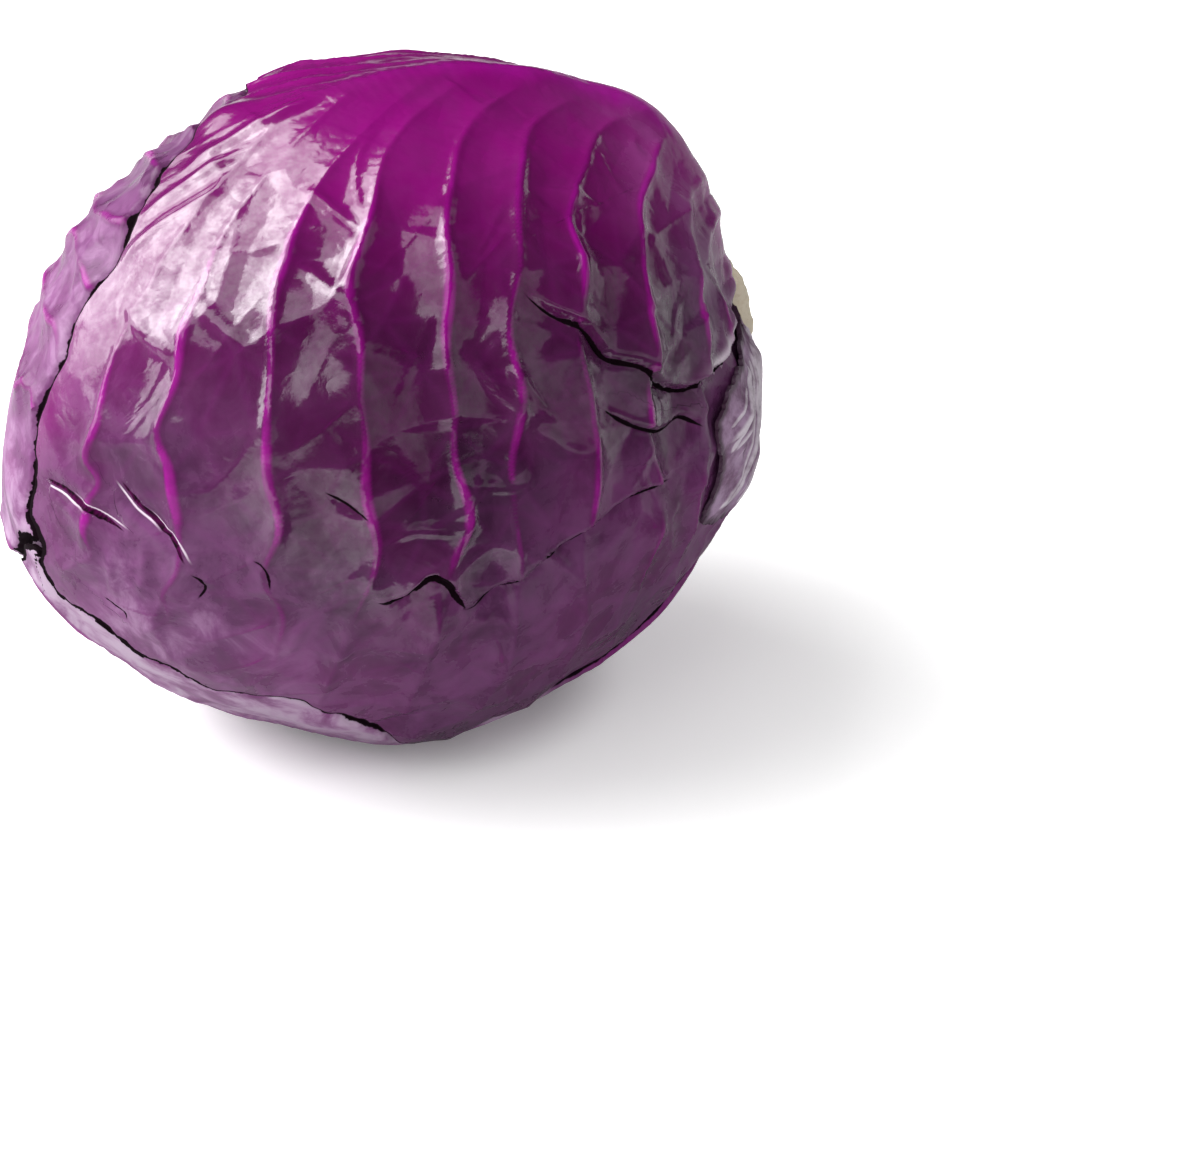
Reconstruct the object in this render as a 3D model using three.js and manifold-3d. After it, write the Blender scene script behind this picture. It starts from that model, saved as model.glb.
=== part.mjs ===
// A whole red cabbage, trimmed as for sale and lying on its side.
//
// The head's long axis runs along X, with the cut stem at +X and the crown at -X. +Z is up, and the head
// rests at z = 0 on the small flat spot that its weight presses into the lowest leaf.
//
// A direction from the head's centre is given by two angles in degrees. theta is the angle from the stem
// end, and phi goes round the long axis: 0 is up, 90 is towards -Y, 180 is down.
//
// Each leaf is a closed shell that follows the head's skin at a depth of its own, so that an outer leaf
// wraps round those inside it and no two touch.

import * as THREE from 'three';
import { mergeVertices } from 'three/addons/utils/BufferGeometryUtils.js';
import Module from 'manifold-3d';

const wasm = await Module();
wasm.setup();

// Driving dimensions, in millimetres and degrees

const HALF_LENGTH = 84;
const HALF_WIDTH = 70.5;
const CENTRE_HEIGHT = 69;
// The head isn't quite even, so its centre stands a little off the middle of its bounding box
const CENTRE_X = -2.4;
const CENTRE_Y = 1;

// Places where the head is fuller or flatter than an ellipsoid: theta, phi, height outwards, spread angle
const BUMPS = [
  [150, -55, -5.5, 34],   // slack far shoulder
  [38, 5, 4.2, 20],       // full upper side of the stem end
  [116, -30, -2.5, 18],   // dip behind the crown
  [95, 148, 3.5, 20],     // full near belly
  [165, -145, 3.5, 18],   // full lower crown
  [147, 172, -1.5, 18],   // dip under the crown
  [26, 65, -3, 20],       // flat beside the stem
  [0, 0, -4, 22],         // hollow round the stem
  [105, -95, 1.5, 50],    // far side, where the leaf beneath comes to the surface
  [95, 185, 1.8, 45],     // underside, where the leaf beneath comes to the surface
];

const GOLDEN_ANGLE = 137.5;
const MIDRIB_PHI = 3;            // where the outermost whole leaf has its midrib

const LEAF_THICKNESS = 0.8;
const LEAF_GAP = 1.0;            // air between two outer leaves
const LEAF_STEP = LEAF_THICKNESS + LEAF_GAP;
const STALK_THICKNESS = 1.8;
const STALK_HEIGHT = STALK_THICKNESS + LEAF_GAP;

const INNER_LEAVES = 9;
const INNER_STEP = 4.9;
const INNER_GAP = 0.4;
const INNER_THICKNESS = INNER_STEP - INNER_GAP;   // an inner leaf is as thick as its crumpled folds
const INNER_START = 3 * LEAF_STEP + 0.4;
const INNER_REACH = 142;         // an inner leaf wraps this far round from its own middle, like a hood
const INNER_OVERLAP = 7;         // and this far past the edge of the core, which cuts its base

const STEM_END = 88;
const STEM_RADIUS = 12;
const CORE_CLEARANCE = 0.35;
// The core as radius and position along X, from its tip inside the head to the cut end of the stem
const CORE_PROFILE = [
  [0, -12],
  [3.5, -6],
  [8, 8],
  [12.5, 26],
  [16.5, 44],
  [18.5, 57],
  [18.5, 64],
  [16.5, 71],
  [13.6, 76],
  [12.4, 80],
  [STEM_RADIUS, 85],
  [STEM_RADIUS - 0.5, STEM_END],
  [0, STEM_END],
];

// Leaf outlines as [theta, phi] pairs, each with the direction that its flat chart is centred on

const TOP_LEAF = {
  centre: [88, 45],
  outline: [
    [14, 62], [20, 105], [38, 126], [62, 138], [88, 145], [100, 146], [112, 140], [125, 134], [136, 139],
    [146, 141], [157, 146], [164, 162], [174, 140], [174, 50], [167, 20], [159, 14], [151, 7], [141, 4],
    [128, -5], [114, -14], [101, -25], [88, -42], [70, -62], [45, -80], [22, -85], [14, -62], [11, 0],
  ],
};
const LOWER_LEAF = {
  centre: [92, 155],
  outline: [
    [14, 85], [22, 62], [50, 74], [90, 88], [125, 100], [152, 112], [168, 140], [170, -175], [152, -150],
    [122, -140], [90, -136], [60, -138], [30, -150], [14, -175], [11, 145],
  ],
};
const FAR_LEAF = {
  centre: [95, -72],
  outline: [
    [14, -25], [22, 8], [60, 18], [100, 24], [130, 36], [150, 52], [166, 90], [168, 150], [158, -172],
    [140, -158], [115, -158], [88, -162], [60, -166], [30, -166], [14, -130], [11, -75],
  ],
};

// Bases of older leaves that were trimmed off, oldest last
const STALKS = [
  {
    name: 'leaf_stalk_far',
    centre: [29, -134],
    outline: [
      [13, -168], [26, -160], [40, -152], [47, -141], [43, -130], [46, -119], [34, -110], [22, -106],
      [13, -100], [11, -134],
    ],
  },
  {
    name: 'leaf_stalk_near',
    centre: [33, 98],
    outline: [
      [13, 62], [24, 70], [36, 76], [46, 80], [52, 88], [50, 98], [53, 108], [44, 116], [30, 122],
      [13, 130], [11, 95],
    ],
  },
  {
    name: 'leaf_stalk_top',
    centre: [27, -49],
    outline: [
      [13, -84], [24, -75], [36, -68], [43, -58], [39, -48], [42, -38], [32, -29], [22, -22], [13, -16],
      [11, -49],
    ],
  },
];

const LEAF_GRID = { rings: 10, spokes: 36 };
const STALK_GRID = { rings: 4, spokes: 18 };
const INNER_DETAIL = 3;
const HOOD_SIDES = 20;
const CORE_SIDES = 18;

// Colours of the living tissue

const LEAF_COLOUR = '#7d1470';
const INNER_COLOUR = '#8f3a86';
const STALK_COLOUR = '#a08a9c';
const STEM_COLOUR = '#d9cdb4';

function material(colour, roughness) {
  return new THREE.MeshStandardMaterial({ color: colour, roughness, metalness: 0 });
}

const LEAF_SKIN = material(LEAF_COLOUR, 0.35);
const INNER_SKIN = material(INNER_COLOUR, 0.45);
const STALK_SKIN = material(STALK_COLOUR, 0.5);
const STEM_FLESH = material(STEM_COLOUR, 0.65);

// Directions and flat charts of the head's surface

function directionAt(theta, phi) {
  const t = THREE.MathUtils.degToRad(theta);
  const p = THREE.MathUtils.degToRad(phi);
  return new THREE.Vector3(Math.cos(t), -Math.sin(t) * Math.sin(p), Math.sin(t) * Math.cos(p));
}

// A chart lays the surface flat round its centre: angles from the centre stay true, like a polar map
function makeChart(centreAngles) {
  const centre = directionAt(...centreAngles);
  const towardsStem = new THREE.Vector3(1, 0, 0);
  towardsStem.addScaledVector(centre, -towardsStem.dot(centre)).normalize();
  const across = new THREE.Vector3().crossVectors(centre, towardsStem);
  return {
    toFlat(direction) {
      const angle = THREE.MathUtils.radToDeg(centre.angleTo(direction));
      const azimuth = Math.atan2(direction.dot(across), direction.dot(towardsStem));
      return new THREE.Vector2(angle * Math.cos(azimuth), angle * Math.sin(azimuth));
    },
    toDirection(flat) {
      const angle = THREE.MathUtils.degToRad(flat.length());
      const azimuth = flat.angle();
      return new THREE.Vector3()
        .addScaledVector(centre, Math.cos(angle))
        .addScaledVector(towardsStem, Math.sin(angle) * Math.cos(azimuth))
        .addScaledVector(across, Math.sin(angle) * Math.sin(azimuth));
    },
  };
}

// The closed outline in its flat chart, counterclockwise, sampled once for each spoke of the leaf's grid
function sampleOutline(corners, spokes) {
  const curve = new THREE.CatmullRomCurve3(
    corners.map((corner) => new THREE.Vector3(corner.x, corner.y, 0)), true, 'centripetal',
  );
  const rim = curve.getSpacedPoints(spokes).slice(0, spokes);
  const points = rim.map((point) => new THREE.Vector2(point.x, point.y));
  if (THREE.ShapeUtils.area(points) < 0) points.reverse();
  return points;
}

function describeLeaf(plan, grid) {
  const chart = makeChart(plan.centre);
  const corners = plan.outline.map((angles) => chart.toFlat(directionAt(...angles)));
  return { chart, rim: sampleOutline(corners, grid.spokes), grid };
}

// Radii from the head's centre

function fullRadius(direction) {
  const x = direction.x / HALF_LENGTH;
  const y = direction.y / HALF_WIDTH;
  const z = direction.z / HALF_WIDTH;
  let radius = 1 / Math.sqrt(x * x + y * y + z * z);
  for (const [theta, phi, height, spread] of BUMPS) {
    const away = THREE.MathUtils.radToDeg(direction.angleTo(directionAt(theta, phi)));
    radius += height * Math.exp(-((away / spread) ** 2));
  }
  return radius;
}

// The same, held up by the floor. The floor stops the lower leaf, which lies one step below the skin.
function restingRadius(direction) {
  const toFloor = direction.z < 0 ? CENTRE_HEIGHT / -direction.z + LEAF_STEP : Infinity;
  return Math.min(fullRadius(direction), toFloor);
}

// Solids

function toSolid(geometry) {
  geometry.deleteAttribute('normal');
  geometry.deleteAttribute('uv');
  const merged = mergeVertices(geometry, 1e-4);
  const mesh = new wasm.Mesh({
    numProp: 3,
    vertProperties: new Float32Array(merged.attributes.position.array),
    triVerts: new Uint32Array(merged.index.array),
  });
  return new wasm.Manifold(mesh);
}

function toGeometry(solid) {
  const mesh = solid.getMesh();
  const geometry = new THREE.BufferGeometry();
  geometry.setAttribute('position', new THREE.BufferAttribute(mesh.vertProperties, mesh.numProp));
  geometry.setIndex(new THREE.BufferAttribute(mesh.triVerts, 1));
  return geometry;
}

// A closed leaf between two depths below the skin. Each side is a fan of rings and spokes, and a narrow
// wall along the rim joins them. A leaf that meets the floor reaches below it, to be cut flat.
function leafSolid(leaf, outerDepth, innerDepth, meetsFloor = false) {
  const { rings, spokes } = leaf.grid;
  const positions = [];
  const addPoint = (flat, radiusAt, depth) => {
    const direction = leaf.chart.toDirection(flat);
    positions.push(...direction.multiplyScalar(radiusAt(direction) - depth).toArray());
  };
  const addSide = (radiusAt, depth) => {
    addPoint(new THREE.Vector2(0, 0), radiusAt, depth);
    for (let ring = 1; ring <= rings; ring += 1) {
      leaf.rim.forEach((point) => addPoint(point.clone().multiplyScalar(ring / rings), radiusAt, depth));
    }
  };
  addSide(meetsFloor ? fullRadius : restingRadius, outerDepth);
  addSide(restingRadius, innerDepth);
  const sideSize = 1 + rings * spokes;
  const at = (ring, spoke) => 1 + (ring - 1) * spokes + (spoke % spokes);
  const index = [];
  const addTriangle = (a, b, c) => {
    index.push(a, b, c);
    index.push(sideSize + a, sideSize + c, sideSize + b);
  };
  for (let spoke = 0; spoke < spokes; spoke += 1) {
    addTriangle(0, at(1, spoke), at(1, spoke + 1));
    for (let ring = 1; ring < rings; ring += 1) {
      addTriangle(at(ring, spoke), at(ring + 1, spoke), at(ring + 1, spoke + 1));
      addTriangle(at(ring, spoke), at(ring + 1, spoke + 1), at(ring, spoke + 1));
    }
    const rim = at(rings, spoke);
    const nextRim = at(rings, spoke + 1);
    index.push(rim, sideSize + rim, sideSize + nextRim);
    index.push(rim, sideSize + nextRim, nextRim);
  }
  const geometry = new THREE.BufferGeometry();
  geometry.setAttribute('position', new THREE.Float32BufferAttribute(positions, 3));
  geometry.setIndex(index);
  return toSolid(geometry);
}

function coreSolid(clearance) {
  const profile = CORE_PROFILE.map(([radius, x], index) => {
    const isTip = index === 0;
    const isEnd = x === STEM_END;
    const grownX = isTip ? x - clearance : x + (isEnd ? clearance : 0);
    return new THREE.Vector2(radius === 0 ? 0 : radius + clearance, grownX);
  });
  const geometry = new THREE.LatheGeometry(profile, CORE_SIDES);
  geometry.rotateZ(-Math.PI / 2);
  return toSolid(geometry);
}

// Everything below the floor, which cuts the flat spot
function groundSolid() {
  const size = 4 * HALF_LENGTH;
  const geometry = new THREE.BoxGeometry(size, size, size);
  geometry.translate(0, 0, -CENTRE_HEIGHT - size / 2);
  return toSolid(geometry);
}

// The whole body inside the skin at one depth. All these share one net of directions, so they nest exactly.
function bodySolid(depth) {
  const geometry = new THREE.IcosahedronGeometry(1, INNER_DETAIL);
  const position = geometry.attributes.position;
  for (let index = 0; index < position.count; index += 1) {
    const direction = new THREE.Vector3().fromBufferAttribute(position, index).normalize();
    direction.multiplyScalar(restingRadius(direction) - depth);
    position.setXYZ(index, ...direction.toArray());
  }
  return toSolid(geometry);
}

// The cone that an inner leaf leaves open: it lies opposite the leaf's middle and its edge crosses the core
function openingSolid(order, depth) {
  const coreRadius = Math.max(...CORE_PROFILE.map(([radius]) => radius));
  const baseAngle = THREE.MathUtils.radToDeg(Math.asin(coreRadius / (HALF_LENGTH - depth)));
  const middleTheta = baseAngle - INNER_OVERLAP + INNER_REACH;
  const middle = directionAt(middleTheta, MIDRIB_PHI + GOLDEN_ANGLE * (order + 3));
  const height = 2 * HALF_LENGTH;
  const width = height * Math.tan(THREE.MathUtils.degToRad(180 - INNER_REACH));
  const geometry = new THREE.ConeGeometry(width, height, HOOD_SIDES);
  geometry.translate(0, -height / 2, 0);
  geometry.applyQuaternion(new THREE.Quaternion().setFromUnitVectors(new THREE.Vector3(0, 1, 0), middle));
  return toSolid(geometry);
}

function innerLeafSolid(order, depth) {
  const hollow = bodySolid(depth).subtract(bodySolid(depth + INNER_THICKNESS));
  return hollow.subtract(openingSolid(order, depth));
}

// The head

const cabbage = new THREE.Group();
cabbage.name = 'red_cabbage';
cabbage.position.set(CENTRE_X, CENTRE_Y, CENTRE_HEIGHT);

function addPiece(name, solid, skin) {
  const mesh = new THREE.Mesh(toGeometry(solid), skin);
  mesh.name = name;
  cabbage.add(mesh);
}

const clearance = coreSolid(CORE_CLEARANCE);
addPiece('stem_core', coreSolid(0), STEM_FLESH);

// Trimmed leaf bases lie on the outer leaves, beside each other
for (const plan of STALKS) {
  const stalk = leafSolid(describeLeaf(plan, STALK_GRID), -STALK_HEIGHT, -LEAF_GAP);
  addPiece(plan.name, stalk.subtract(clearance), STALK_SKIN);
}

// The whole outer leaves: the last one carries the head and is cut flat by the floor
const topLeaf = leafSolid(describeLeaf(TOP_LEAF, LEAF_GRID), 0, LEAF_THICKNESS);
addPiece('wrapper_leaf_top', topLeaf.subtract(clearance), LEAF_SKIN);

const lowerLeaf = leafSolid(describeLeaf(LOWER_LEAF, LEAF_GRID), LEAF_STEP, LEAF_STEP + LEAF_THICKNESS, true);
addPiece('wrapper_leaf_lower', lowerLeaf.subtract(clearance).subtract(groundSolid()), LEAF_SKIN);

const farLeaf = leafSolid(describeLeaf(FAR_LEAF, LEAF_GRID), 2 * LEAF_STEP, 2 * LEAF_STEP + LEAF_THICKNESS);
addPiece('wrapper_leaf_far', farLeaf.subtract(clearance), LEAF_SKIN);

// Inner leaves, each a golden angle further round and one step deeper
for (let order = 0; order < INNER_LEAVES; order += 1) {
  const leaf = innerLeafSolid(order, INNER_START + order * INNER_STEP);
  addPiece(`inner_leaf_${order + 1}`, leaf.subtract(clearance), INNER_SKIN);
}

addPiece('heart', bodySolid(INNER_START + INNER_LEAVES * INNER_STEP).subtract(clearance), INNER_SKIN);

export default cabbage;
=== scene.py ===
# %% [markdown]
# # A whole red cabbage, lying on its side
#
# A cabbage head is a short thick stem with leaves wrapped tightly round it. Almost everything that the
# eye reads is on three outer leaves: the ribs that branch from a broad midrib, the facets between them,
# the crack where one leaf's edge lies on the next, and a grey bloom of wax over purple skin.
#
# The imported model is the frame: it says where each leaf and the stem are. This lesson makes a fine
# surface for each outer piece, by numpy where a formula is simplest and by Geometry Nodes for the ribs.

# %% Load the frame
import math

import bpy
import numpy as np
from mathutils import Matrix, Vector


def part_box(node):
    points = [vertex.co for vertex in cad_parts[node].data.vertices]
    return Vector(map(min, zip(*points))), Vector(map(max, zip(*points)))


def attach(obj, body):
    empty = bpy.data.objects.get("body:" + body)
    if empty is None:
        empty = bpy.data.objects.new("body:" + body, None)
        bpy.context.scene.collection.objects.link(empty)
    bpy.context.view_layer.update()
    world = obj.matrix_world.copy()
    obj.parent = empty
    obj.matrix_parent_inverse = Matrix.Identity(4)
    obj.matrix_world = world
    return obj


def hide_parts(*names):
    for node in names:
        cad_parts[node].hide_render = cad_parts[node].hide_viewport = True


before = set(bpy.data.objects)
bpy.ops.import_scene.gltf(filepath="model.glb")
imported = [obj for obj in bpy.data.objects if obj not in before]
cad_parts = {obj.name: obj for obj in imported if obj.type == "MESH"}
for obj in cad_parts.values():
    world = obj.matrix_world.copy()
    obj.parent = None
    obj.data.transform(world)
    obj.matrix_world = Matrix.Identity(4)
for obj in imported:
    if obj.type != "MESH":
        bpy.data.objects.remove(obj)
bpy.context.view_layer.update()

MM = 0.001
print("nodes in the frame:", len(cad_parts))

# %% [markdown]
# ## Helpers
#
# Node trees could be built with a function for each kind of node, but one small function that sets a
# node's properties and fills or links its inputs is enough for geometry and for materials alike. The
# kinds and settings that come back again and again get short names. Colours are written as sRGB hex
# values, as a colour picker shows them, and turned to linear here.

# %% One function for colours, one for nodes
MATH, VECTOR_MATH, BUMP = "ShaderNodeMath", "ShaderNodeVectorMath", "ShaderNodeBump"
RANGE = "ShaderNodeMapRange"      # its inputs: value, from low, from high, to low, to high
MIX = "ShaderNodeMix"             # of its inputs, 0 is the factor, and 6 and 7 are the two colours
PROXIMITY, SET_POSITION = "GeometryNodeProximity", "GeometryNodeSetPosition"
NAMED_ATTRIBUTE, STORE_ATTRIBUTE = "GeometryNodeInputNamedAttribute", "GeometryNodeStoreNamedAttribute"
TIMES, PLUS, LARGER = {"operation": "MULTIPLY"}, {"operation": "ADD"}, {"operation": "MAXIMUM"}
MINUS, OVER, EXP = {"operation": "SUBTRACT"}, {"operation": "DIVIDE"}, {"operation": "EXPONENT"}
SMOOTH = {"interpolation_type": "SMOOTHSTEP"}
COLOUR, FLOAT = {"data_type": "RGBA"}, {"data_type": "FLOAT"}
TO_EDGES, ON_POINTS = {"target_element": "EDGES"}, {"domain": "POINT"}


def linear(hex_colour):
    """Turn an sRGB hex colour into the linear RGBA that a shader wants."""
    channels = [int(hex_colour[i:i + 2], 16) / 255 for i in (1, 3, 5)]
    return tuple(c / 12.92 if c <= 0.04045 else ((c + 0.055) / 1.055) ** 2.4 for c in channels) + (1.0,)


def add_node(tree, kind, inputs=(), **settings):
    """Add a node, set its properties, and fill or link its inputs.

    inputs is a list in the order of the sockets, or a dict by socket name or number. A node among its
    values gives its first output, and a hex colour is turned to linear.
    """
    node = tree.nodes.new(kind)
    for name, value in settings.items():
        setattr(node, name, value)
    for name, value in (inputs if isinstance(inputs, dict) else dict(enumerate(inputs))).items():
        if isinstance(value, bpy.types.Node):
            value = value.outputs[0]
        if isinstance(value, bpy.types.NodeSocket):
            tree.links.new(value, node.inputs[name])
        elif isinstance(value, str) and value.startswith("#"):
            node.inputs[name].default_value = linear(value)
        else:
            node.inputs[name].default_value = value
    return node


print("the sRGB grey #808080 is", round(linear("#808080")[0], 3), "in linear light")

# %% [markdown]
# Every piece here is worked out as arrays of points, so it is made straight from data, with no operator
# that depends on what is selected. What a material has to know of a point goes with it as an attribute.

# %% One function for meshes
def mesh_object(name, points, faces=(), edges=(), attributes=None):
    """Make a smooth-shaded mesh from points in metres, with float attributes on its points."""
    mesh = bpy.data.meshes.new(name)
    mesh.from_pydata(points, edges, faces)
    for key, values in (attributes or {}).items():
        layer = mesh.attributes.new(key, "FLOAT", "POINT")
        layer.data.foreach_set("value", np.asarray(values, np.float32))
    mesh.shade_smooth()
    mesh.update()
    piece = bpy.data.objects.new(name, mesh)
    bpy.context.scene.collection.objects.link(piece)
    return piece


# %% [markdown]
# ## The head's skin
#
# The head is close to an ellipsoid, fuller in some places and slack in others. A direction from its
# centre is given by theta, the angle from the stem end, and phi, the angle round the long axis: 0 is
# up, 90 is the near side, 180 is down.

# %% Directions on the head
STEM_END = 88.0          # mm, centre to the cut face of the stem

core_low, core_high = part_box("stem_core")
CENTRE = np.array([
    core_high.x / MM - STEM_END,
    (core_low.y + core_high.y) / 2 / MM,
    (core_low.z + core_high.z) / 2 / MM,
])


def direction_at(theta, phi):
    """Unit directions for angles in degrees."""
    t, p = np.radians(theta), np.radians(phi)
    return np.stack([np.cos(t), -np.sin(t) * np.sin(p), np.sin(t) * np.cos(p)], axis=-1)


def angles_of(directions):
    """theta and phi in degrees for unit directions."""
    theta = np.degrees(np.arccos(np.clip(directions[..., 0], -1, 1)))
    phi = np.degrees(np.arctan2(-directions[..., 1], directions[..., 2]))
    return theta, phi


def angle_between(directions, other):
    """Angles in degrees from unit directions to one other direction."""
    return np.degrees(np.arccos(np.clip(directions @ other, -1, 1)))


print("centre of the head in mm:", np.round(CENTRE, 1))

# %% [markdown]
# A formula for the skin's radius keeps every leaf on the same form, and it is the same form that the
# frame's leaves have. Sculpting would be freer, but two leaves sculpted apart would soon cut through
# each other.

# %% The skin as a radius in every direction
HALF_LENGTH = 84.0       # mm, centre to crown, and to the stem end without its stub
HALF_WIDTH = 70.5        # mm

# theta, phi, height outwards in mm, spread in degrees
BUMPS = [
    (150, -55, -5.5, 34),   # slack far shoulder
    (38, 5, 4.2, 20),       # full upper side of the stem end
    (116, -30, -2.5, 18),   # dip behind the crown
    (95, 148, 3.5, 20),     # full near belly
    (165, -145, 3.5, 18),   # full lower crown
    (147, 172, -1.5, 18),   # dip under the crown
    (26, 65, -3.0, 20),     # flat beside the stem
    (0, 0, -4.0, 22),       # hollow round the stem
    (105, -95, 1.5, 50),    # far side, where the leaf beneath comes to the surface
    (95, 185, 1.8, 45),     # underside, where the leaf beneath comes to the surface
]


def hill(directions, theta, phi, spread):
    """1 at one direction, falling to 0 around it like a bell."""
    return np.exp(-(angle_between(directions, direction_at(theta, phi)) / spread) ** 2)


def skin_radius(directions):
    """Radius of the head's skin in mm."""
    scaled = directions / np.array([HALF_LENGTH, HALF_WIDTH, HALF_WIDTH])
    radius = 1 / np.linalg.norm(scaled, axis=-1)
    for theta, phi, height, spread in BUMPS:
        radius = radius + height * hill(directions, theta, phi, spread)
    return radius


def smooth_step(value, low, high):
    """0 below low, 1 above high, smooth between."""
    t = np.clip((value - low) / (high - low), 0, 1)
    return t * t * (3 - 2 * t)


near_side = direction_at([90.0], [90.0])
print("the skin is", round(float(skin_radius(near_side)[0]), 1), "mm from the centre on the near side")

# %% [markdown]
# ## Flat charts
#
# A leaf's edge is easiest to draw flat. A chart lays the head flat round one direction, like a polar
# map: distances from the middle stay true, in degrees. One degree is 1.2 mm of leaf on the head's
# sides, and 1.5 mm at its ends.

# %% A chart
class Chart:
    """A flat map of the head round one direction: first axis towards the stem, second to its left."""

    def __init__(self, theta, phi):
        self.middle = direction_at(theta, phi)
        towards_stem = np.array([1.0, 0, 0]) - self.middle * self.middle[0]
        self.up = towards_stem / np.linalg.norm(towards_stem)
        self.side = np.cross(self.middle, self.up)

    def flat(self, directions):
        """Places on the chart, in degrees, for unit directions."""
        angle = angle_between(directions, self.middle)
        turn = np.arctan2(directions @ self.side, directions @ self.up)
        return np.stack([angle * np.cos(turn), angle * np.sin(turn)], axis=-1)

    def directions(self, flat):
        """Unit directions for places on the chart."""
        angle = np.radians(np.linalg.norm(flat, axis=-1))
        turn = np.arctan2(flat[..., 1], flat[..., 0])
        along = (np.sin(angle) * np.cos(turn))[..., None]
        across = (np.sin(angle) * np.sin(turn))[..., None]
        return np.cos(angle)[..., None] * self.middle + along * self.up + across * self.side


near_side = skin_radius(direction_at(90, 90))
print("one degree on the near side is", round(float(np.radians(near_side)), 2), "mm")

# %% [markdown]
# Outlines and ribs are given by a few corners each. The curve through them is a Catmull-Rom spline, which
# passes through every corner, so a corner is a place where the leaf's edge really is. Bezier handles
# would bend it more freely, but each corner would need two more points.

# %% Smooth curves, and the distance to an outline
SPAN_STEPS = 24           # points between two corners, before the curve is spaced evenly


def smooth_curve(corners, count, closed):
    """Evenly spaced points on a smooth curve through the corners."""
    corners = np.asarray(corners, float)
    if closed:
        padded = np.concatenate([corners[-1:], corners, corners[:2]])
    else:
        padded = np.concatenate([[2 * corners[0] - corners[1]], corners, [2 * corners[-1] - corners[-2]]])
    spans = []
    for before, start, end, after in zip(padded, padded[1:], padded[2:], padded[3:]):
        t = np.linspace(0, 1, SPAN_STEPS, endpoint=False)[:, None]
        leave, arrive = (end - before) / 2, (after - start) / 2
        spans.append(start + leave * t + (3 * (end - start) - 2 * leave - arrive) * t ** 2
                     + (2 * (start - end) + leave + arrive) * t ** 3)
    points = np.concatenate(spans + [padded[-2:-1]])
    travelled = np.concatenate([[0], np.cumsum(np.linalg.norm(np.diff(points, axis=0), axis=1))])
    wanted = np.linspace(0, travelled[-1], count, endpoint=not closed)
    return np.stack([np.interp(wanted, travelled, points[:, k]) for k in (0, 1)], axis=-1)


def distance_inside(points, outline):
    """Distance in degrees to a closed outline, positive inside it."""
    nearest = np.full(len(points), np.inf)
    inside = np.zeros(len(points), bool)
    for start, end in zip(outline, np.roll(outline, -1, axis=0)):
        edge = end - start
        offset = points - start
        along = np.clip(offset @ edge / (edge @ edge), 0, 1)
        nearest = np.minimum(nearest, np.linalg.norm(offset - along[:, None] * edge, axis=1))
        if start[1] != end[1]:
            straddles = (start[1] > points[:, 1]) != (end[1] > points[:, 1])
            crossing = start[0] + (points[:, 1] - start[1]) * edge[0] / edge[1]
            inside ^= straddles & (points[:, 0] < crossing)
    return np.where(inside, nearest, -nearest)


print("five even points on a curve through three corners:",
      smooth_curve([(0, 0), (2, 2), (4, 0)], 5, closed=False).round(2).tolist())

# %% [markdown]
# Folds, tears, slits and creases are paths across the head. Each has a chart of its own, in its middle,
# so that the distance to it is true, and only the points near it are measured, which saves time.

# %% A mark on the head
class Mark:
    """A path on the head, with a chart of its own so that distances near it are true."""

    REACH = 16.0          # degrees from the path, beyond which the distance isn't worked out
    STEPS = 60            # points on a path

    def __init__(self, *corners):
        directions = direction_at(*np.transpose(corners))
        middle = directions.mean(axis=0)
        self.chart = Chart(*angles_of(middle / np.linalg.norm(middle)))
        self.path = smooth_curve(self.chart.flat(directions), self.STEPS, closed=False)
        self.size = np.linalg.norm(self.path, axis=1).max()

    def measure(self, directions):
        """Degrees from the path, positive to its left as seen from outside, and the place along it."""
        close = angle_between(directions, self.chart.middle) < self.size + self.REACH
        points = self.chart.flat(directions[close])
        nearest = np.full(len(points), self.REACH)
        side = np.ones(len(points))
        place = np.zeros(len(points))
        for index, (start, end) in enumerate(zip(self.path, self.path[1:])):
            edge = end - start
            offset = points - start
            along = np.clip(offset @ edge / (edge @ edge), 0, 1)
            gap = np.linalg.norm(offset - along[:, None] * edge, axis=1)
            closer = gap < nearest
            nearest = np.where(closer, gap, nearest)
            turn = edge[0] * offset[:, 1] - edge[1] * offset[:, 0]
            side = np.where(closer, np.sign(turn), side)
            place = np.where(closer, (index + along) / (len(self.path) - 1), place)
        gaps, places = np.full(len(directions), self.REACH), np.zeros(len(directions))
        gaps[close] = nearest * side
        places[close] = place
        return gaps, places


print("the distance to a mark is worked out up to", Mark.REACH, "degrees from it")

# %% [markdown]
# ## Leaf outlines
#
# The three whole outer leaves. The top one lies over the other two, and its edge is the long dark
# crack at the crown. Each outline is a short list of corners, given by theta and phi, which a smooth
# closed curve joins. The corners along the crown give the edge its small notches.

# %% A leaf's plan
OUTLINE_POINTS = 440      # enough to follow the small notches of an edge
NOTCHES = (23, 41, 67, 96, 131)     # how many waves of each length go round an outline
ROUGHNESS = 0.4           # how much lower the short waves are: 0 not at all, 1 in step with their length


def notched(outline, depth, seed):
    """Roughen an outline with small waves of several lengths."""
    turn = np.linspace(0, 2 * np.pi, len(outline), endpoint=False)
    draw = np.random.default_rng(seed)
    wave = sum(np.sin(k * turn + draw.uniform(0, 2 * np.pi)) / k ** ROUGHNESS for k in NOTCHES)
    return outline * (1 + depth * wave / np.linalg.norm(outline, axis=1))[:, None]


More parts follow.
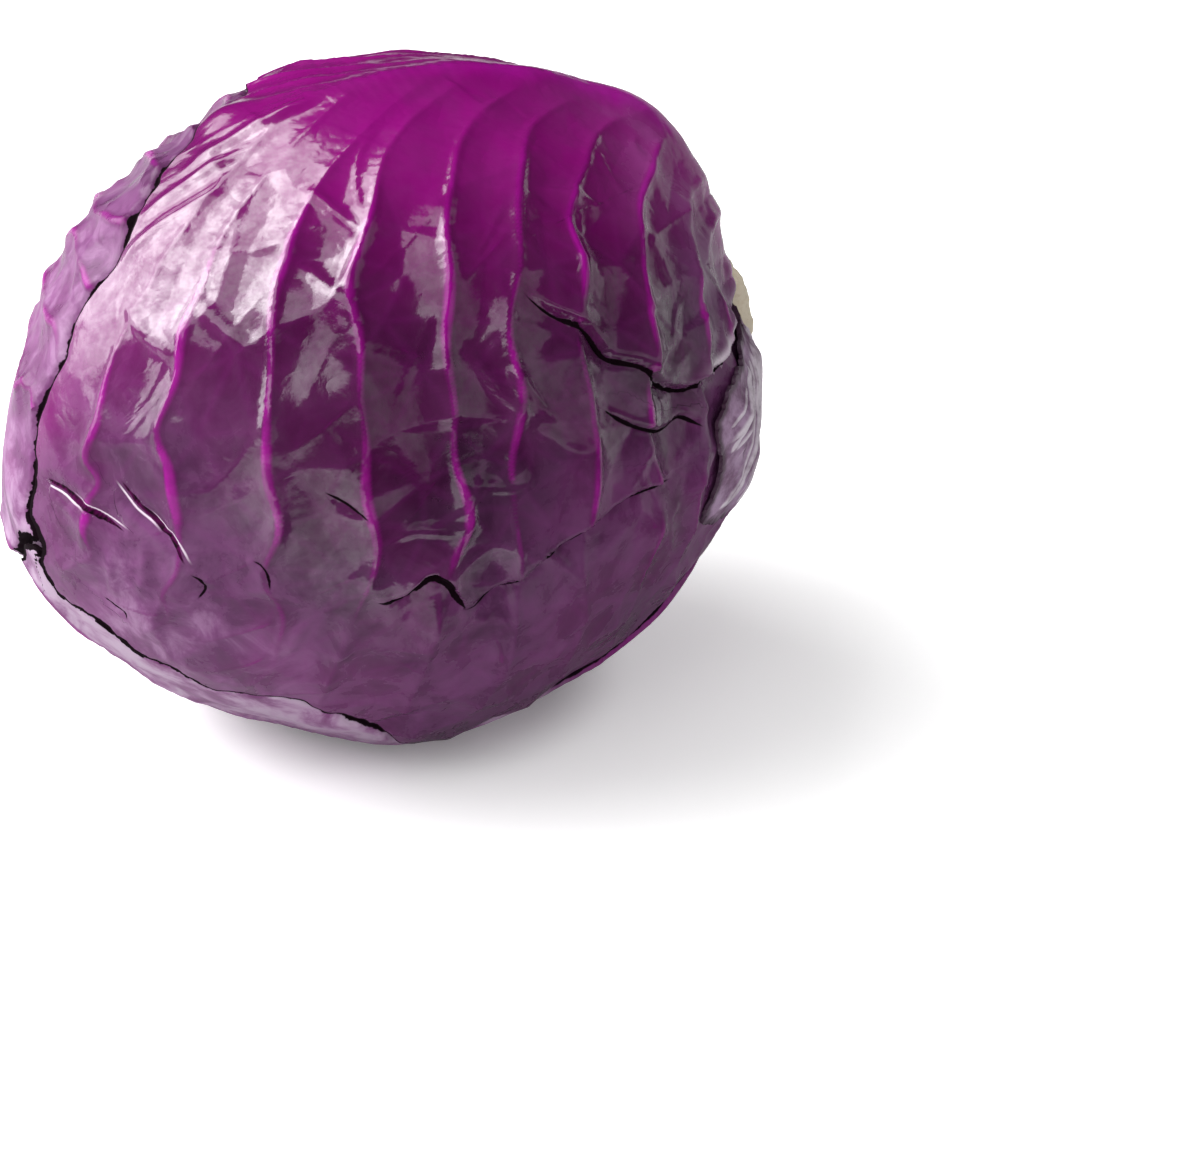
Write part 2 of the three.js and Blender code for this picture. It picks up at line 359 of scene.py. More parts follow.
class Plan:
    """A leaf's chart and outline. Its edge is notched by some degrees, and it lies some mm deep."""

    def __init__(self, node, middle, corners, notch, depth, seed):
        self.node = node
        self.chart = Chart(*middle)
        flat = self.chart.flat(direction_at(*np.transpose(corners)))
        outline = notched(smooth_curve(flat, OUTLINE_POINTS, closed=True), notch, seed)
        ahead = np.roll(outline, -1, axis=0)
        area = np.sum(outline[:, 0] * ahead[:, 1] - ahead[:, 0] * outline[:, 1])
        self.outline = outline if area > 0 else outline[::-1]
        self.depth = depth

    def inside(self, directions):
        """Degrees from the leaf's edge, positive inside it."""
        return distance_inside(self.chart.flat(directions), self.outline)


TOP_LEAF = Plan("wrapper_leaf_top", (88, 45), [
    (14, 75), (20, 105), (38, 126), (62, 138), (88, 145), (102, 146), (111, 140), (120, 135), (128, 133),
    (138, 140), (146, 141), (152, 144), (158, 145), (162, 160), (168, 156), (171, 140), (176, 120),
    (174, 60), (170, 27), (165, 16), (159, 14), (155, 8), (151, 6), (146, 7), (141, 5), (135, 0), (128, -5),
    (121, -9), (114, -15), (108, -14), (101, -25), (88, -42), (70, -62), (45, -80), (22, -85), (14, -30),
    (9, 20), (9, 55),
], notch=0.9, depth=0.0, seed=11)
LOWER_LEAF = Plan("wrapper_leaf_lower", (92, 155), [
    (14, 100), (22, 62), (50, 74), (90, 88), (125, 100), (152, 112), (168, 140), (170, -175), (152, -150),
    (122, -140), (90, -136), (60, -138), (30, -150), (14, -175), (9, 160), (9, 125),
], notch=0.6, depth=0.5, seed=12)
FAR_LEAF = Plan("wrapper_leaf_far", (95, -72), [
    (14, -40), (22, 8), (60, 18), (100, 24), (130, 36), (150, 52), (166, 90), (168, 150), (158, -172),
    (140, -158), (115, -158), (88, -162), (60, -166), (30, -166), (14, -120), (9, -95), (9, -65),
], notch=0.6, depth=0.5, seed=13)

for plan in (TOP_LEAF, LOWER_LEAF, FAR_LEAF):
    furthest = np.linalg.norm(plan.outline, axis=1).max()
    print(plan.node, "reaches", round(furthest), "degrees from its middle")

# %% [markdown]
# Where a leaf passes under another one it sinks, by a small step just outside that one's edge, and
# further on its way in. The step is what makes the edge read as an edge, with a shadow under it. It is
# highest at the torn corner near the crown, where all three leaves meet.

# %% How deep a leaf lies
LEAF_STEP = 1.6           # mm that a leaf sinks where it passes under another one's edge
SUNK_TO = 0.5             # degrees beyond that edge where it is still fully sunk
RISEN_BY = 1.9            # degrees beyond it where it is level again
DEEPER = 2.4              # mm that it sinks further on its way in
DEEPER_BY = 11.0          # degrees in from the edge where it has done so
TORN_CORNER = (166, 140, 12)        # theta, phi and spread of the place where three leaves meet


def leaf_radius(directions, plan, covered):
    """Radius of a leaf's outer face in mm. covered is how far inside each leaf over it a point is."""
    radius = skin_radius(directions) - plan.depth
    for inside in covered:
        step = LEAF_STEP * (1 + 0.9 * hill(directions, *TORN_CORNER))
        radius = radius - step * smooth_step(inside, -RISEN_BY, -SUNK_TO)
        radius = radius - DEEPER * smooth_step(inside, 0.5, DEEPER_BY)
    return radius


print("a covered leaf lies", LEAF_STEP + DEEPER, "mm lower than a bare one")

# %% [markdown]
# ## A leaf as a sheet
#
# A sheet needs an even net of small faces, and a row of them exactly along its edge. Rings and spokes
# would crowd at the middle, so the net is square, with each square ring of it stretched to the leaf's
# outline.

# %% Build the sheet of one leaf
def square_rings(side):
    """For a square net: each point's ring, 0 in the middle to 1 at the edge, and its place round it."""
    line = np.linspace(-1, 1, side)
    x, y = np.meshgrid(line, line, indexing="ij")
    ring = np.maximum(np.abs(x), np.abs(y))
    safe = np.where(ring == 0, 1, ring)
    u, v = x / safe, y / safe
    near_one = 1 - 1e-9
    place = np.select(
        [v <= -near_one, u >= near_one, v >= near_one],
        [(u + 1) / 2, 1 + (v + 1) / 2, 2 + (1 - u) / 2],
        3 + (1 - v) / 2,
    )
    return ring.ravel(), (place.ravel() / 4) % 1


def leaf_net(plan, side):
    """Directions of a square net that fills the plan's outline."""
    ring, place = square_rings(side)
    outline = np.concatenate([plan.outline, plan.outline[:1]])
    steps = np.linspace(0, 1, len(outline))
    rim = np.stack([np.interp(place, steps, outline[:, k]) for k in (0, 1)], axis=-1)
    return plan.chart.directions(rim * ring[:, None])


def net_faces(side):
    """Quads of a square net, turned to face outwards."""
    index = np.arange(side * side).reshape(side, side)
    corners = index[:-1, :-1], index[1:, :-1], index[1:, 1:], index[:-1, 1:]
    return np.stack([c.ravel() for c in corners], axis=-1)


def net_rim(side):
    """The net's edge points in order."""
    index = np.arange(side * side).reshape(side, side)
    return np.concatenate([index[:-1, 0], index[-1, :-1], index[:0:-1, -1], index[0, :0:-1]])


print("a net of 5 points a side has", len(net_faces(5)), "faces and a rim of", len(net_rim(5)), "points")

# %% [markdown]
# ## Folds, tears and creases
#
# The top leaf isn't whole: a flap near the stem lies over the leaf below it, a tear crosses the near
# side, and two slit-like creases sit by the crown. Each is a path on the head, and a profile of the
# distance to that path raises a lip on one side and drops the other one. The net is too coarse for the
# hair-thin dark line of a crack, which is painted shade, so the signed distance to it is kept as an
# attribute, and the skin's material paints the line from that as sharply as it likes.

# %% Profiles across a path
SLIT_LIP, SLIT_LIP_AT, SLIT_LIP_REACH = 0.5, 2.2, 1.1     # mm high, degrees from the middle, degrees wide
SLIT_DEPTH, SLIT_REACH = 0.9, 1.3                         # mm deep, degrees wide
SLIT_OPEN = 0.85
RIM_REACH = 1.5           # degrees from a slit's middle, beyond which no painted highlight of a rim is drawn
CREASE_OPEN = 0.28        # a crease's line is this open, next to a crack's 1


def fade_ends(place, share=0.15):
    """1 along most of a path, falling to 0 at its two ends."""
    return smooth_step(place, 0, share) * (1 - smooth_step(place, 1 - share, 1))


def overlap(directions, mark, lip, drop, lip_reach=3.5, drop_reach=3.0, share=0.15, line=0.5, opened=0.7):
    """The leaf on the path's left lies over the one on its right.

    Returns heights in mm, the distance to the dark line beside the lip and how open that line is.
    """
    gap, place = mark.measure(directions)
    ends = fade_ends(place, share)
    raised = lip * np.exp(-(gap / lip_reach) ** 2)
    dropped = -drop * np.exp(-np.abs(gap) / drop_reach)
    left = smooth_step(gap, -0.9 * line, 0.2)
    return ends * (raised * left + dropped * (1 - left)), gap + line, opened * ends


def slit(directions, mark):
    """A lens-shaped slit: heights in mm, the distance to its middle, its openness and its lit sides.

    A pale rim, which is a painted highlight, follows its first half on the right, and its second half on
    the left.
    """
    gap, place = mark.measure(directions)
    ends = fade_ends(place, 0.35)
    lips = SLIT_LIP * np.exp(-((np.abs(gap) - SLIT_LIP_AT) / SLIT_LIP_REACH) ** 2)
    height = ends * (lips - SLIT_DEPTH * np.exp(-(gap / SLIT_REACH) ** 2))
    lit = np.where(gap < 0, 1 - smooth_step(place, 0.42, 0.62), smooth_step(place, 0.38, 0.58))
    return height, gap, SLIT_OPEN * ends, fade_ends(place, 0.15) * lit * (np.abs(gap) < RIM_REACH)


def ridge(directions, mark, height, width):
    """A plain raised line, or a groove if height is negative."""
    gap, place = mark.measure(directions)
    ends = fade_ends(place, 0.3)
    return ends * height * np.exp(-(gap / width) ** 2), gap, CREASE_OPEN * ends


print("how a path fades at its ends:", fade_ends(np.linspace(0, 1, 9)).round(2).tolist())

# %% [markdown]
# Where cracks come close to each other, a point can carry only one distance. The nearest crack gives it,
# but a closed one gives way to an open one. Pleats are another kind of fold: short ones that gather
# round the stem, where the leaf is narrow, and smooth out within a few centimetres.

# %% The nearest crack, and the pleats round the stem
CLOSED_COUNTS = 4.0       # degrees by which a closed crack counts as further away than an open one
PLEAT_HEIGHT = 1.5        # mm
FOLD_TURNS, RIPPLE_TURNS = 7.5, 15.5      # waves of the pleats round the stem


def nearest_crack(cracks):
    """Of several cracks, the signed distance in degrees to the nearest one, and how open it is there."""
    gaps = np.array([gap for gap, _ in cracks])
    opens = np.array([opened for _, opened in cracks])
    pick = np.argmin(np.abs(gaps) + CLOSED_COUNTS * (1 - np.minimum(opens, 1)), axis=0)
    column = np.arange(gaps.shape[1])
    return gaps[pick, column], opens[pick, column]


def pleats(directions, midrib_phi):
    """Folds that run out from the stem, none of them on the midrib. Heights in mm."""
    theta, phi = angles_of(directions)
    present = smooth_step(theta, 12, 19) * (1 - smooth_step(theta, 28, 56))
    beside = 1 - np.exp(-(((phi - midrib_phi + 180) % 360 - 180) / 24) ** 2)
    turn = np.radians(phi + 9 * np.sin(theta / 7))
    wave = 0.55 * np.abs(np.sin(FOLD_TURNS * turn + 0.4)) + 0.45 * np.abs(np.sin(RIPPLE_TURNS * turn + 1.3))
    return PLEAT_HEIGHT * present * beside * (wave - 0.55)


beside_stem = direction_at(np.full(360, 25.0), np.arange(360.0))
print("pleats beside the stem rise to", round(pleats(beside_stem, 25).max(), 2), "mm")

# %% [markdown]
# These are the top leaf's own marks. A path runs so that the part of the leaf that lies on top is to
# its left.

# %% Where the top leaf is folded and torn
FLAP = Mark((89, 51), (84, 56), (79, 60), (76, 65), (70, 68), (66, 72), (59, 75), (53, 74), (47, 74),
            (42, 72), (37, 68), (30, 60))
FOLD_BELOW_FLAP = Mark((79, 73), (72, 78), (65, 81), (60, 80), (55, 84))
TEAR = Mark((120, 99), (116, 99), (112, 95), (109, 96), (106, 101), (104, 104))
TONGUE = Mark((106, 102), (104, 103), (101, 101), (96, 99), (90, 95), (81, 92), (73, 90), (62, 91))
TORN_END = Mark((57, 76), (53, 75), (47, 75), (42, 73), (36, 69))
SLITS = [
    Mark((172, 58), (168, 71), (164, 80), (161, 85), (157, 90)),
    Mark((157, 68), (155, 78), (152, 83), (149, 88), (147, 95)),
]
NICKS = [
    Mark((147, 97), (145, 101), (146, 106)),
    Mark((138, 91), (136, 93), (135, 98)),
    Mark((160, 127), (158, 128), (156, 127), (155, 130)),
    Mark((127, 77), (124, 80), (120, 84)),
]
LONG_CREASES = [
    Mark((119, 89), (114, 87), (108, 88), (102, 87)),
    Mark((94, 97), (90, 97), (86, 102), (83, 106)),
    Mark((120, 91), (120, 95), (118, 101), (115, 108)),
    Mark((130, 105), (131, 111), (132, 118)),
    Mark((124, 100), (124, 107), (123, 117)),
    Mark((154, 86), (154, 100), (154, 115)),
    Mark((160, 95), (159, 110), (158, 124)),
    Mark((136, 32), (134, 42), (131, 49)),
    Mark((120, 36), (117, 45), (115, 51)),
    Mark((114, 22), (111, 33), (109, 38)),
    Mark((145, 18), (145, 33), (141, 45)),
    Mark((101, 57), (97, 67), (90, 74)),
    Mark((95, 63), (89, 74)),
    Mark((107, 79), (100, 82), (93, 82)),
    Mark((92, 73), (88, 78), (82, 81)),
]
TOP_CRESTS = [
    Mark((128, 0), (114, 3), (100, 4)),
    Mark((138, 2), (126, 5), (114, 8)),
    Mark((146, 8), (136, 10), (122, 13)),
]
SWELLS = [
    (2.2, 114, -9, 5),      # height in mm, theta, phi, spread: the knuckle of the edge over the crown
    (-1.0, 60, 88, 12),     # a hollow under the flap
    (-2.6, 30, 50, 16),     # a hollow beside the stem
]
print("the top leaf has", len(SLITS), "slits,", len(NICKS), "nicks and", len(LONG_CREASES), "long creases")

# %% [markdown]
# The marks add up to one height for each point. Folds, tears, slits and nicks leave a crack behind, but
# creases and swells don't.

# %% The top leaf's folds and tears
TORN_FLESH = 1.4, 0.8     # degrees from the torn end to the middle of its pale flesh, and the flesh's reach


def top_leaf_marks(directions):
    """Heights in mm of the top leaf's folds and tears, its cracks, where torn flesh shows pale, and where a
    slit's rim gets a painted highlight.
    """
    parts = [
        overlap(directions, FLAP, lip=1.1, drop=2.0, lip_reach=7, drop_reach=3.5, line=0.9, opened=0.6),
        overlap(directions, FOLD_BELOW_FLAP, lip=0.7, drop=1.2, line=0.8, opened=0.5),
        overlap(directions, TEAR, lip=1.0, drop=2.0, lip_reach=2.5, drop_reach=3, share=0.25, line=0.8,
                opened=1.5),
        overlap(directions, TONGUE, lip=0.7, drop=1.9, lip_reach=3, drop_reach=6, line=1.2, opened=0.5),
    ]
    slits = [slit(directions, mark) for mark in SLITS]
    parts += [made[:3] for made in slits]
    parts += [ridge(directions, nick, -0.6, 0.6) for nick in NICKS]
    height = sum(part[0] for part in parts)
    for marks, raised, width in ((LONG_CREASES, 0.9, 1.1), (TOP_CRESTS, 1.0, 1.3)):
        for mark in marks:
            height = height + ridge(directions, mark, raised, width)[0]
    height = height + pleats(directions, 25)
    for amount, theta, phi, spread in SWELLS:
        height = height + amount * hill(directions, theta, phi, spread)
    gap, place = TORN_END.measure(directions)
    torn = fade_ends(place, 0.4) * np.exp(-((gap - TORN_FLESH[0]) / TORN_FLESH[1]) ** 2)
    lit = np.max([made[3] for made in slits], axis=0)
    return height, [part[1:] for part in parts], {"torn": torn, "lit": lit}


at_knuckle = top_leaf_marks(direction_at([114.0], [-9.0]))[0]
print("the top leaf's knuckle over the crown stands", round(float(at_knuckle[0]), 1), "mm out")

# %% [markdown]
# ## Ribs
#
# A cabbage leaf's midrib runs from the stem towards the crown. Side ribs leave it at a slant, hug it for
# a while and then swing round the head, so that far from the midrib they follow rings of equal theta.
# One formula gives them all. Small branches link neighbouring side ribs.

# %% The paths of the ribs, in degrees
RIB_SWING = 60.0          # degrees of theta that a side rib travels as it swings away
RIB_HUG = 22.0            # degrees of phi over which it does so
RIB_LENGTH = 128          # degrees of phi from the midrib to a side rib's end
LAST_BRANCH = 122         # degrees of phi beyond which no branch starts
NEAR_STEM = 14            # theta, nearer to the stem than which no rib is drawn
FULL_TURN = 6.28          # radians, for random starts of waves


def side_rib(level, midrib_phi, turn, wobble, seed):
    """One side rib: theta is level when it has swung round. turn is 1 or -1, the side it leaves on."""
    away = np.linspace(3, RIB_LENGTH, 70)
    theta = level - RIB_SWING * np.exp(-away / RIB_HUG)
    draw = np.random.default_rng(seed)
    for order in range(1, 7):
        theta = theta + wobble / order ** 0.8 * np.sin(away * order / 17 + draw.uniform(0, FULL_TURN))
    keep = theta > NEAR_STEM
    strength = (0.2 + 0.8 * smooth_step(away, 8, 36)) * (1 - 0.65 * smooth_step(away, 78, 122))
    strength = strength * (draw.uniform(0.8, 1.0) + 0.2 * np.sin(away / 6 + draw.uniform(0, FULL_TURN)))
    return theta[keep], (midrib_phi + turn * away)[keep], strength[keep]


def branch_ribs(levels, midrib_phi, turn, seed):
    """Small ribs that lean from each side rib towards the next one."""
    draw = np.random.default_rng(seed)
    paths = []
    for low, high in zip(levels[:-1], levels[1:]):
        away = 26 + draw.uniform(0, 8)
        while away < LAST_BRANCH:
            lean = draw.uniform(7, 20) * draw.choice([-1, 1], p=[0.3, 0.7])
            t = np.linspace(0, 1, 12)
            place = away + lean * t
            base = low - RIB_SWING * np.exp(-place / RIB_HUG)
            reach = draw.uniform(0.5, 1.0)
            theta = base + (high - low) * reach * t + 1.4 * np.sin(t * 3.1) * draw.uniform(-1, 1)
            paths.append((theta, midrib_phi + turn * place, 0.62 - 0.35 * t))
            away += draw.uniform(8, 18)
    return paths


print("a side rib is drawn by", len(side_rib(90, 0, 1, 0.0, 0)[0]), "points")

# %% [markdown]
# A rib's path becomes a mesh of bare edges just on the skin, with the rib's size on each point. It is a
# measure to take distances from, and never shows.

# %% Paths as bare edges
def rib_object(name, paths, above=0.0):
    """A mesh of bare edges along several paths of (theta, phi, size), above mm over the skin."""
    points, sizes, edges = [], [], []
    first = 0
    for theta, phi, size in paths:
        directions = direction_at(theta, phi)
        points.append((directions * (skin_radius(directions) + above)[:, None] + CENTRE) * MM)
        sizes.append(size)
        edges.extend((first + k, first + k + 1) for k in range(len(theta) - 1))
        first += len(theta)
    return mesh_object(name, np.concatenate(points), edges=edges,
                       attributes={"size": np.concatenate(sizes)})


sample = rib_object("sample_rib", [side_rib(90, 0, 1, 0.0, 0)])
print("a side rib has", len(sample.data.edges), "edges")
bpy.data.meshes.remove(sample.data)      # which removes its object too

# %% [markdown]
# The ribs are raised by Geometry Nodes: for each point of the sheet, Geometry Proximity gives the
# distance to the nearest rib path, and a bell-shaped profile of that distance lifts the point. A wider
# and flatter bell makes the shoulder that the leaf rises on beside each rib. Modelling each rib as a
# tube would need its own blend into the leaf, and a bump map alone would leave the outline smooth.

# %% A tree that raises one order of ribs
SHOULDER_REACH = 3.6      # a rib's shoulder is this many times as wide as its crest


def new_tree(name, inputs, output):
    """A geometry node tree with named inputs and one output, and the sockets that give those inputs."""
    tree = bpy.data.node_groups.new(name, "GeometryNodeTree")
    for label, kind in inputs:
        tree.interface.new_socket(name=label, in_out="INPUT", socket_type="NodeSocket" + kind)
    tree.interface.new_socket(name=output, in_out="OUTPUT", socket_type="NodeSocketGeometry")
    return tree, add_node(tree, "NodeGroupInput").outputs


def make_rib_tree():
    """Lift the sheet's points beside the ribs, and mark them with how close to a crest they are."""
    tree, given = new_tree("raise ribs", [
        ("Sheet", "Geometry"), ("Ribs", "Object"), ("Height", "Float"), ("Width", "Float"),
        ("Shoulder", "Float"), ("Outwards", "Vector")], "Sheet")
    where = add_node(tree, "GeometryNodeInputPosition")
    ribs = add_node(tree, "GeometryNodeObjectInfo", {"Object": given["Ribs"]}).outputs["Geometry"]
    near = add_node(tree, PROXIMITY, {0: ribs, "Sample Position": where}, **TO_EDGES)
    index = add_node(tree, "GeometryNodeSampleNearest", [ribs, where], **ON_POINTS)
    sizes, exposed, marked = (add_node(tree, NAMED_ATTRIBUTE, {"Name": name}, **FLOAT)
                              for name in ("size", "exposed", "rib"))
    size = add_node(tree, "GeometryNodeSampleIndex", [ribs, sizes, index], **ON_POINTS, **FLOAT)

    # a bell-shaped crest, as wide as the root of the rib's size, and a wider bell for its shoulder
    root = add_node(tree, MATH, [size, 0.5], operation="POWER")
    width = add_node(tree, MATH, [given["Width"], root], **TIMES)
    ratio = add_node(tree, MATH, [near.outputs["Distance"], width], **OVER)
    square = add_node(tree, MATH, [ratio, ratio], **TIMES)
    falling = add_node(tree, MATH, [square, -1.0], **TIMES)
    crest = add_node(tree, MATH, [falling], **EXP)
    slower = add_node(tree, MATH, [falling, 1 / SHOULDER_REACH ** 2], **TIMES)
    wide = add_node(tree, MATH, [slower], **EXP)
    shoulder = add_node(tree, MATH, [wide, given["Shoulder"]], **TIMES)
    lift = add_node(tree, MATH, [crest, shoulder], **PLUS)
    for factor in (size, given["Height"], exposed):
        lift = add_node(tree, MATH, [lift, factor], **TIMES)

    # the crest is kept as an attribute for the skin's material
    offset = add_node(tree, VECTOR_MATH, {0: given["Outwards"], "Scale": lift}, operation="SCALE")
    mark = add_node(tree, MATH, [crest, size], **TIMES)
    most = add_node(tree, MATH, [mark, marked], **LARGER)
    kept = add_node(tree, STORE_ATTRIBUTE,
                    {"Geometry": given["Sheet"], "Name": "rib", "Value": most}, **ON_POINTS, **FLOAT)
    raised = add_node(tree, SET_POSITION, {"Geometry": kept, "Offset": offset})
    add_node(tree, "NodeGroupOutput", [raised])
    return tree


RIB_TREE = make_rib_tree()
print("rib tree has", len(RIB_TREE.nodes), "nodes")

# %% [markdown]
# A stiff leaf doesn't ripple like cloth. Between its ribs it breaks into flat facets with straight
# creases. A scatter of points on a ball, with more along the ribs, has a convex hull of just such
# triangles. The hull's corners are moved in and out at random, and a ray from the middle of the head
# through each point of the sheet finds the facet that it should lie on. Noise could only make
# rounded folds.

# %% A tree that makes a ball of facets
BALL = 70 * MM            # near the head's own radius, so that the facets are the size they say
BALL_STEPS = 5            # subdivisions of the ball that the points are scattered on
DENSEST = 3e5             # points on a square metre, before the ones too near to others are dropped


def make_facet_tree():
    """A closed ball of flat facets, none of them much smaller than Size, moved by at most Height."""
    tree, given = new_tree("leaf facets", [
        ("Ribs", "Object"), ("Centre", "Vector"), ("Size", "Float"), ("Height", "Float"), ("Seed", "Int")],
        "Facets")
    where = add_node(tree, "GeometryNodeInputPosition")

    # points scattered on the ball, and more of them along the ribs
    ball = add_node(tree, "GeometryNodeMeshIcoSphere", {"Radius": BALL, "Subdivisions": BALL_STEPS})
    scatter = add_node(tree, "GeometryNodeDistributePointsOnFaces",
                       {"Mesh": ball, "Distance Min": given["Size"], "Density Max": DENSEST,
                        "Seed": given["Seed"]}, distribute_method="POISSON").outputs["Points"]
    ribs = add_node(tree, "GeometryNodeObjectInfo", {"Object": given["Ribs"]}).outputs["Geometry"]
    from_centre = add_node(tree, VECTOR_MATH, [where, given["Centre"]], **MINUS)
    at_origin = add_node(tree, SET_POSITION, {"Geometry": ribs, "Position": from_centre})
    strokes = add_node(tree, "GeometryNodeMeshToCurve", {"Mesh": at_origin})
    knots = add_node(tree, "GeometryNodeCurveToPoints", {"Curve": strokes, "Length": given["Size"]},
                     mode="LENGTH").outputs["Points"]
    both = add_node(tree, "GeometryNodeJoinGeometry", [scatter])
    tree.links.new(knots, both.inputs[0])

    # all on the ball, wrapped in a hull, and moved in or out at random
    outwards = add_node(tree, VECTOR_MATH, [where], operation="NORMALIZE")
    on_ball = add_node(tree, VECTOR_MATH, {0: outwards, "Scale": BALL}, operation="SCALE")
    placed = add_node(tree, SET_POSITION, {"Geometry": both, "Position": on_ball})
    hull = add_node(tree, "GeometryNodeConvexHull", [placed])
    draw = add_node(tree, "FunctionNodeRandomValue", {2: -1.0, 3: 1.0, "Seed": given["Seed"]}, **FLOAT)
    height = add_node(tree, MATH, [draw.outputs[1], given["Height"]], **TIMES)
    shift = add_node(tree, VECTOR_MATH, {0: outwards, "Scale": height}, operation="SCALE")
    crumpled = add_node(tree, SET_POSITION, {"Geometry": hull, "Offset": shift})
    add_node(tree, "NodeGroupOutput", [crumpled])
    return tree


FACET_TREE = make_facet_tree()
print("facet tree has", len(FACET_TREE.nodes), "nodes")

# %% [markdown]
# The whole leaf's tree raises the midrib, the side ribs and the branches in turn, then moves the sheet
# in or out by a slow noise for its slack, by large facets all over, and by small ones where the leaf is
# crumpled. The last two are weighed by attributes of the sheet.

# %% The lift of a ball of facets
CREASE_WIDTH = 0.7 * MM
RAY_LENGTH = 1.0          # m, far past the ball


def facet_lift(tree, given, kind, outwards, weight):
    """How far the ball of facets stands above the plain ball, times an attribute, and its creases.

    The first is in metres, and the second is 1 on an edge between two facets and 0 away from it.
    """
    facets = add_node(tree, "GeometryNodeGroup", node_tree=FACET_TREE)
    links = {"Ribs": given["Folding ribs"], "Centre": given["Centre"], "Size": given[kind + " size"],
             "Height": given[kind + " height"], "Seed": given["Seed"]}
    for name, source in links.items():
        tree.links.new(source, facets.inputs[name])
    middle = add_node(tree, "FunctionNodeInputVector", vector=(0, 0, 0))
    ray = add_node(tree, "GeometryNodeRaycast",
                   {"Target Geometry": facets, "Source Position": middle, "Ray Direction": outwards,
                    "Ray Length": RAY_LENGTH})
    above = add_node(tree, MATH, [ray.outputs["Hit Distance"], BALL], **MINUS)
    weighed = add_node(tree, NAMED_ATTRIBUTE, {"Name": weight}, **FLOAT)
    lift = add_node(tree, MATH, [above, weighed], **TIMES)
    edge = add_node(tree, PROXIMITY,
                    {0: facets, "Sample Position": ray.outputs["Hit Position"]}, **TO_EDGES)
    ratio = add_node(tree, MATH, [edge.outputs["Distance"], CREASE_WIDTH], **OVER)
    square = add_node(tree, MATH, [ratio, ratio], **TIMES)
    falling = add_node(tree, MATH, [square, -1.0], **TIMES)
    return lift, add_node(tree, MATH, [falling], **EXP)


print("a crease between two facets is", CREASE_WIDTH / MM, "mm wide")

# %% [markdown]
# Now the whole tree. The ribs are raised while the sheet is still smooth, because their distance to a
# point is measured along straight lines, and a folded sheet would break them up.

# %% Put the leaf's tree together
ORDERS = ("Midrib", "Side ribs", "Branches")
FOLDS = ("Fold", "Facet", "Crumple")


def make_leaf_tree():
    """The sheet in, the same sheet out with ribs, folds and crumples, and the attributes they leave."""
    rib_inputs = [(order + more, kind) for order in ORDERS for more, kind in (
        ("", "Object"), (" height", "Float"), (" width", "Float"), (" shoulder", "Float"))]
    fold_inputs = [(kind + measure, "Float") for kind in FOLDS for measure in (" size", " height")]
    tree, given = new_tree("dress leaf", [
        ("Sheet", "Geometry"), *rib_inputs, ("Folding ribs", "Object"), ("Centre", "Vector"), *fold_inputs,
        ("Seed", "Int"), ("Material", "Material")], "Sheet")
    where = add_node(tree, "GeometryNodeInputPosition")
    from_centre = add_node(tree, VECTOR_MATH, [where, given["Centre"]], **MINUS)
    outwards = add_node(tree, VECTOR_MATH, [from_centre], operation="NORMALIZE")

    # how far in or out each point goes: slow folds, large facets and small crumples
    scale = add_node(tree, MATH, [1.0, given["Fold size"]], **OVER)
    folds = add_node(tree, "ShaderNodeTexNoise", {"Vector": from_centre, "Scale": scale, "Detail": 1.0})
    centred = add_node(tree, MATH, [folds.outputs["Fac"], 0.5], **MINUS)
    slow = add_node(tree, MATH, [centred, given["Fold height"]], **TIMES)
    facets, crease = facet_lift(tree, given, "Facet", outwards, "slack")
    crumples, _ = facet_lift(tree, given, "Crumple", outwards, "crumple")
    sharp = add_node(tree, MATH, [facets, crumples], **PLUS)
    lift = add_node(tree, MATH, [slow, sharp], **PLUS)
    offset = add_node(tree, VECTOR_MATH, {0: outwards, "Scale": lift}, operation="SCALE")

    # the ribs first, while the sheet is still smooth, and then the folds
    sheet = add_node(tree, STORE_ATTRIBUTE,
                     {"Geometry": given["Sheet"], "Name": "crease", "Value": crease}, **ON_POINTS, **FLOAT)
    for order in ORDERS:
        band = add_node(tree, "GeometryNodeGroup", node_tree=RIB_TREE)
        links = {"Sheet": sheet.outputs[0], "Ribs": given[order], "Height": given[order + " height"],
                 "Width": given[order + " width"], "Shoulder": given[order + " shoulder"],
                 "Outwards": outwards.outputs[0]}
        for name, source in links.items():
            tree.links.new(source, band.inputs[name])
        sheet = band
    crumpled = add_node(tree, SET_POSITION, {"Geometry": sheet, "Offset": offset})
    real = add_node(tree, "GeometryNodeRealizeInstances", {"Geometry": crumpled})
    dressed = add_node(tree, "GeometryNodeSetMaterial", {"Geometry": real, "Material": given["Material"]})
    add_node(tree, "NodeGroupOutput", [dressed])
    return tree


LEAF_TREE = make_leaf_tree()
print("leaf tree has", len(LEAF_TREE.nodes), "nodes")

# %% [markdown]
# The tree runs as a modifier on a sheet. Its inputs are set by each socket's identifier before the sheet
# is first evaluated, and what comes out is read back as plain arrays, because the sheet still has to
# get its second face. The modifier goes with the sheet, which is only a helper.

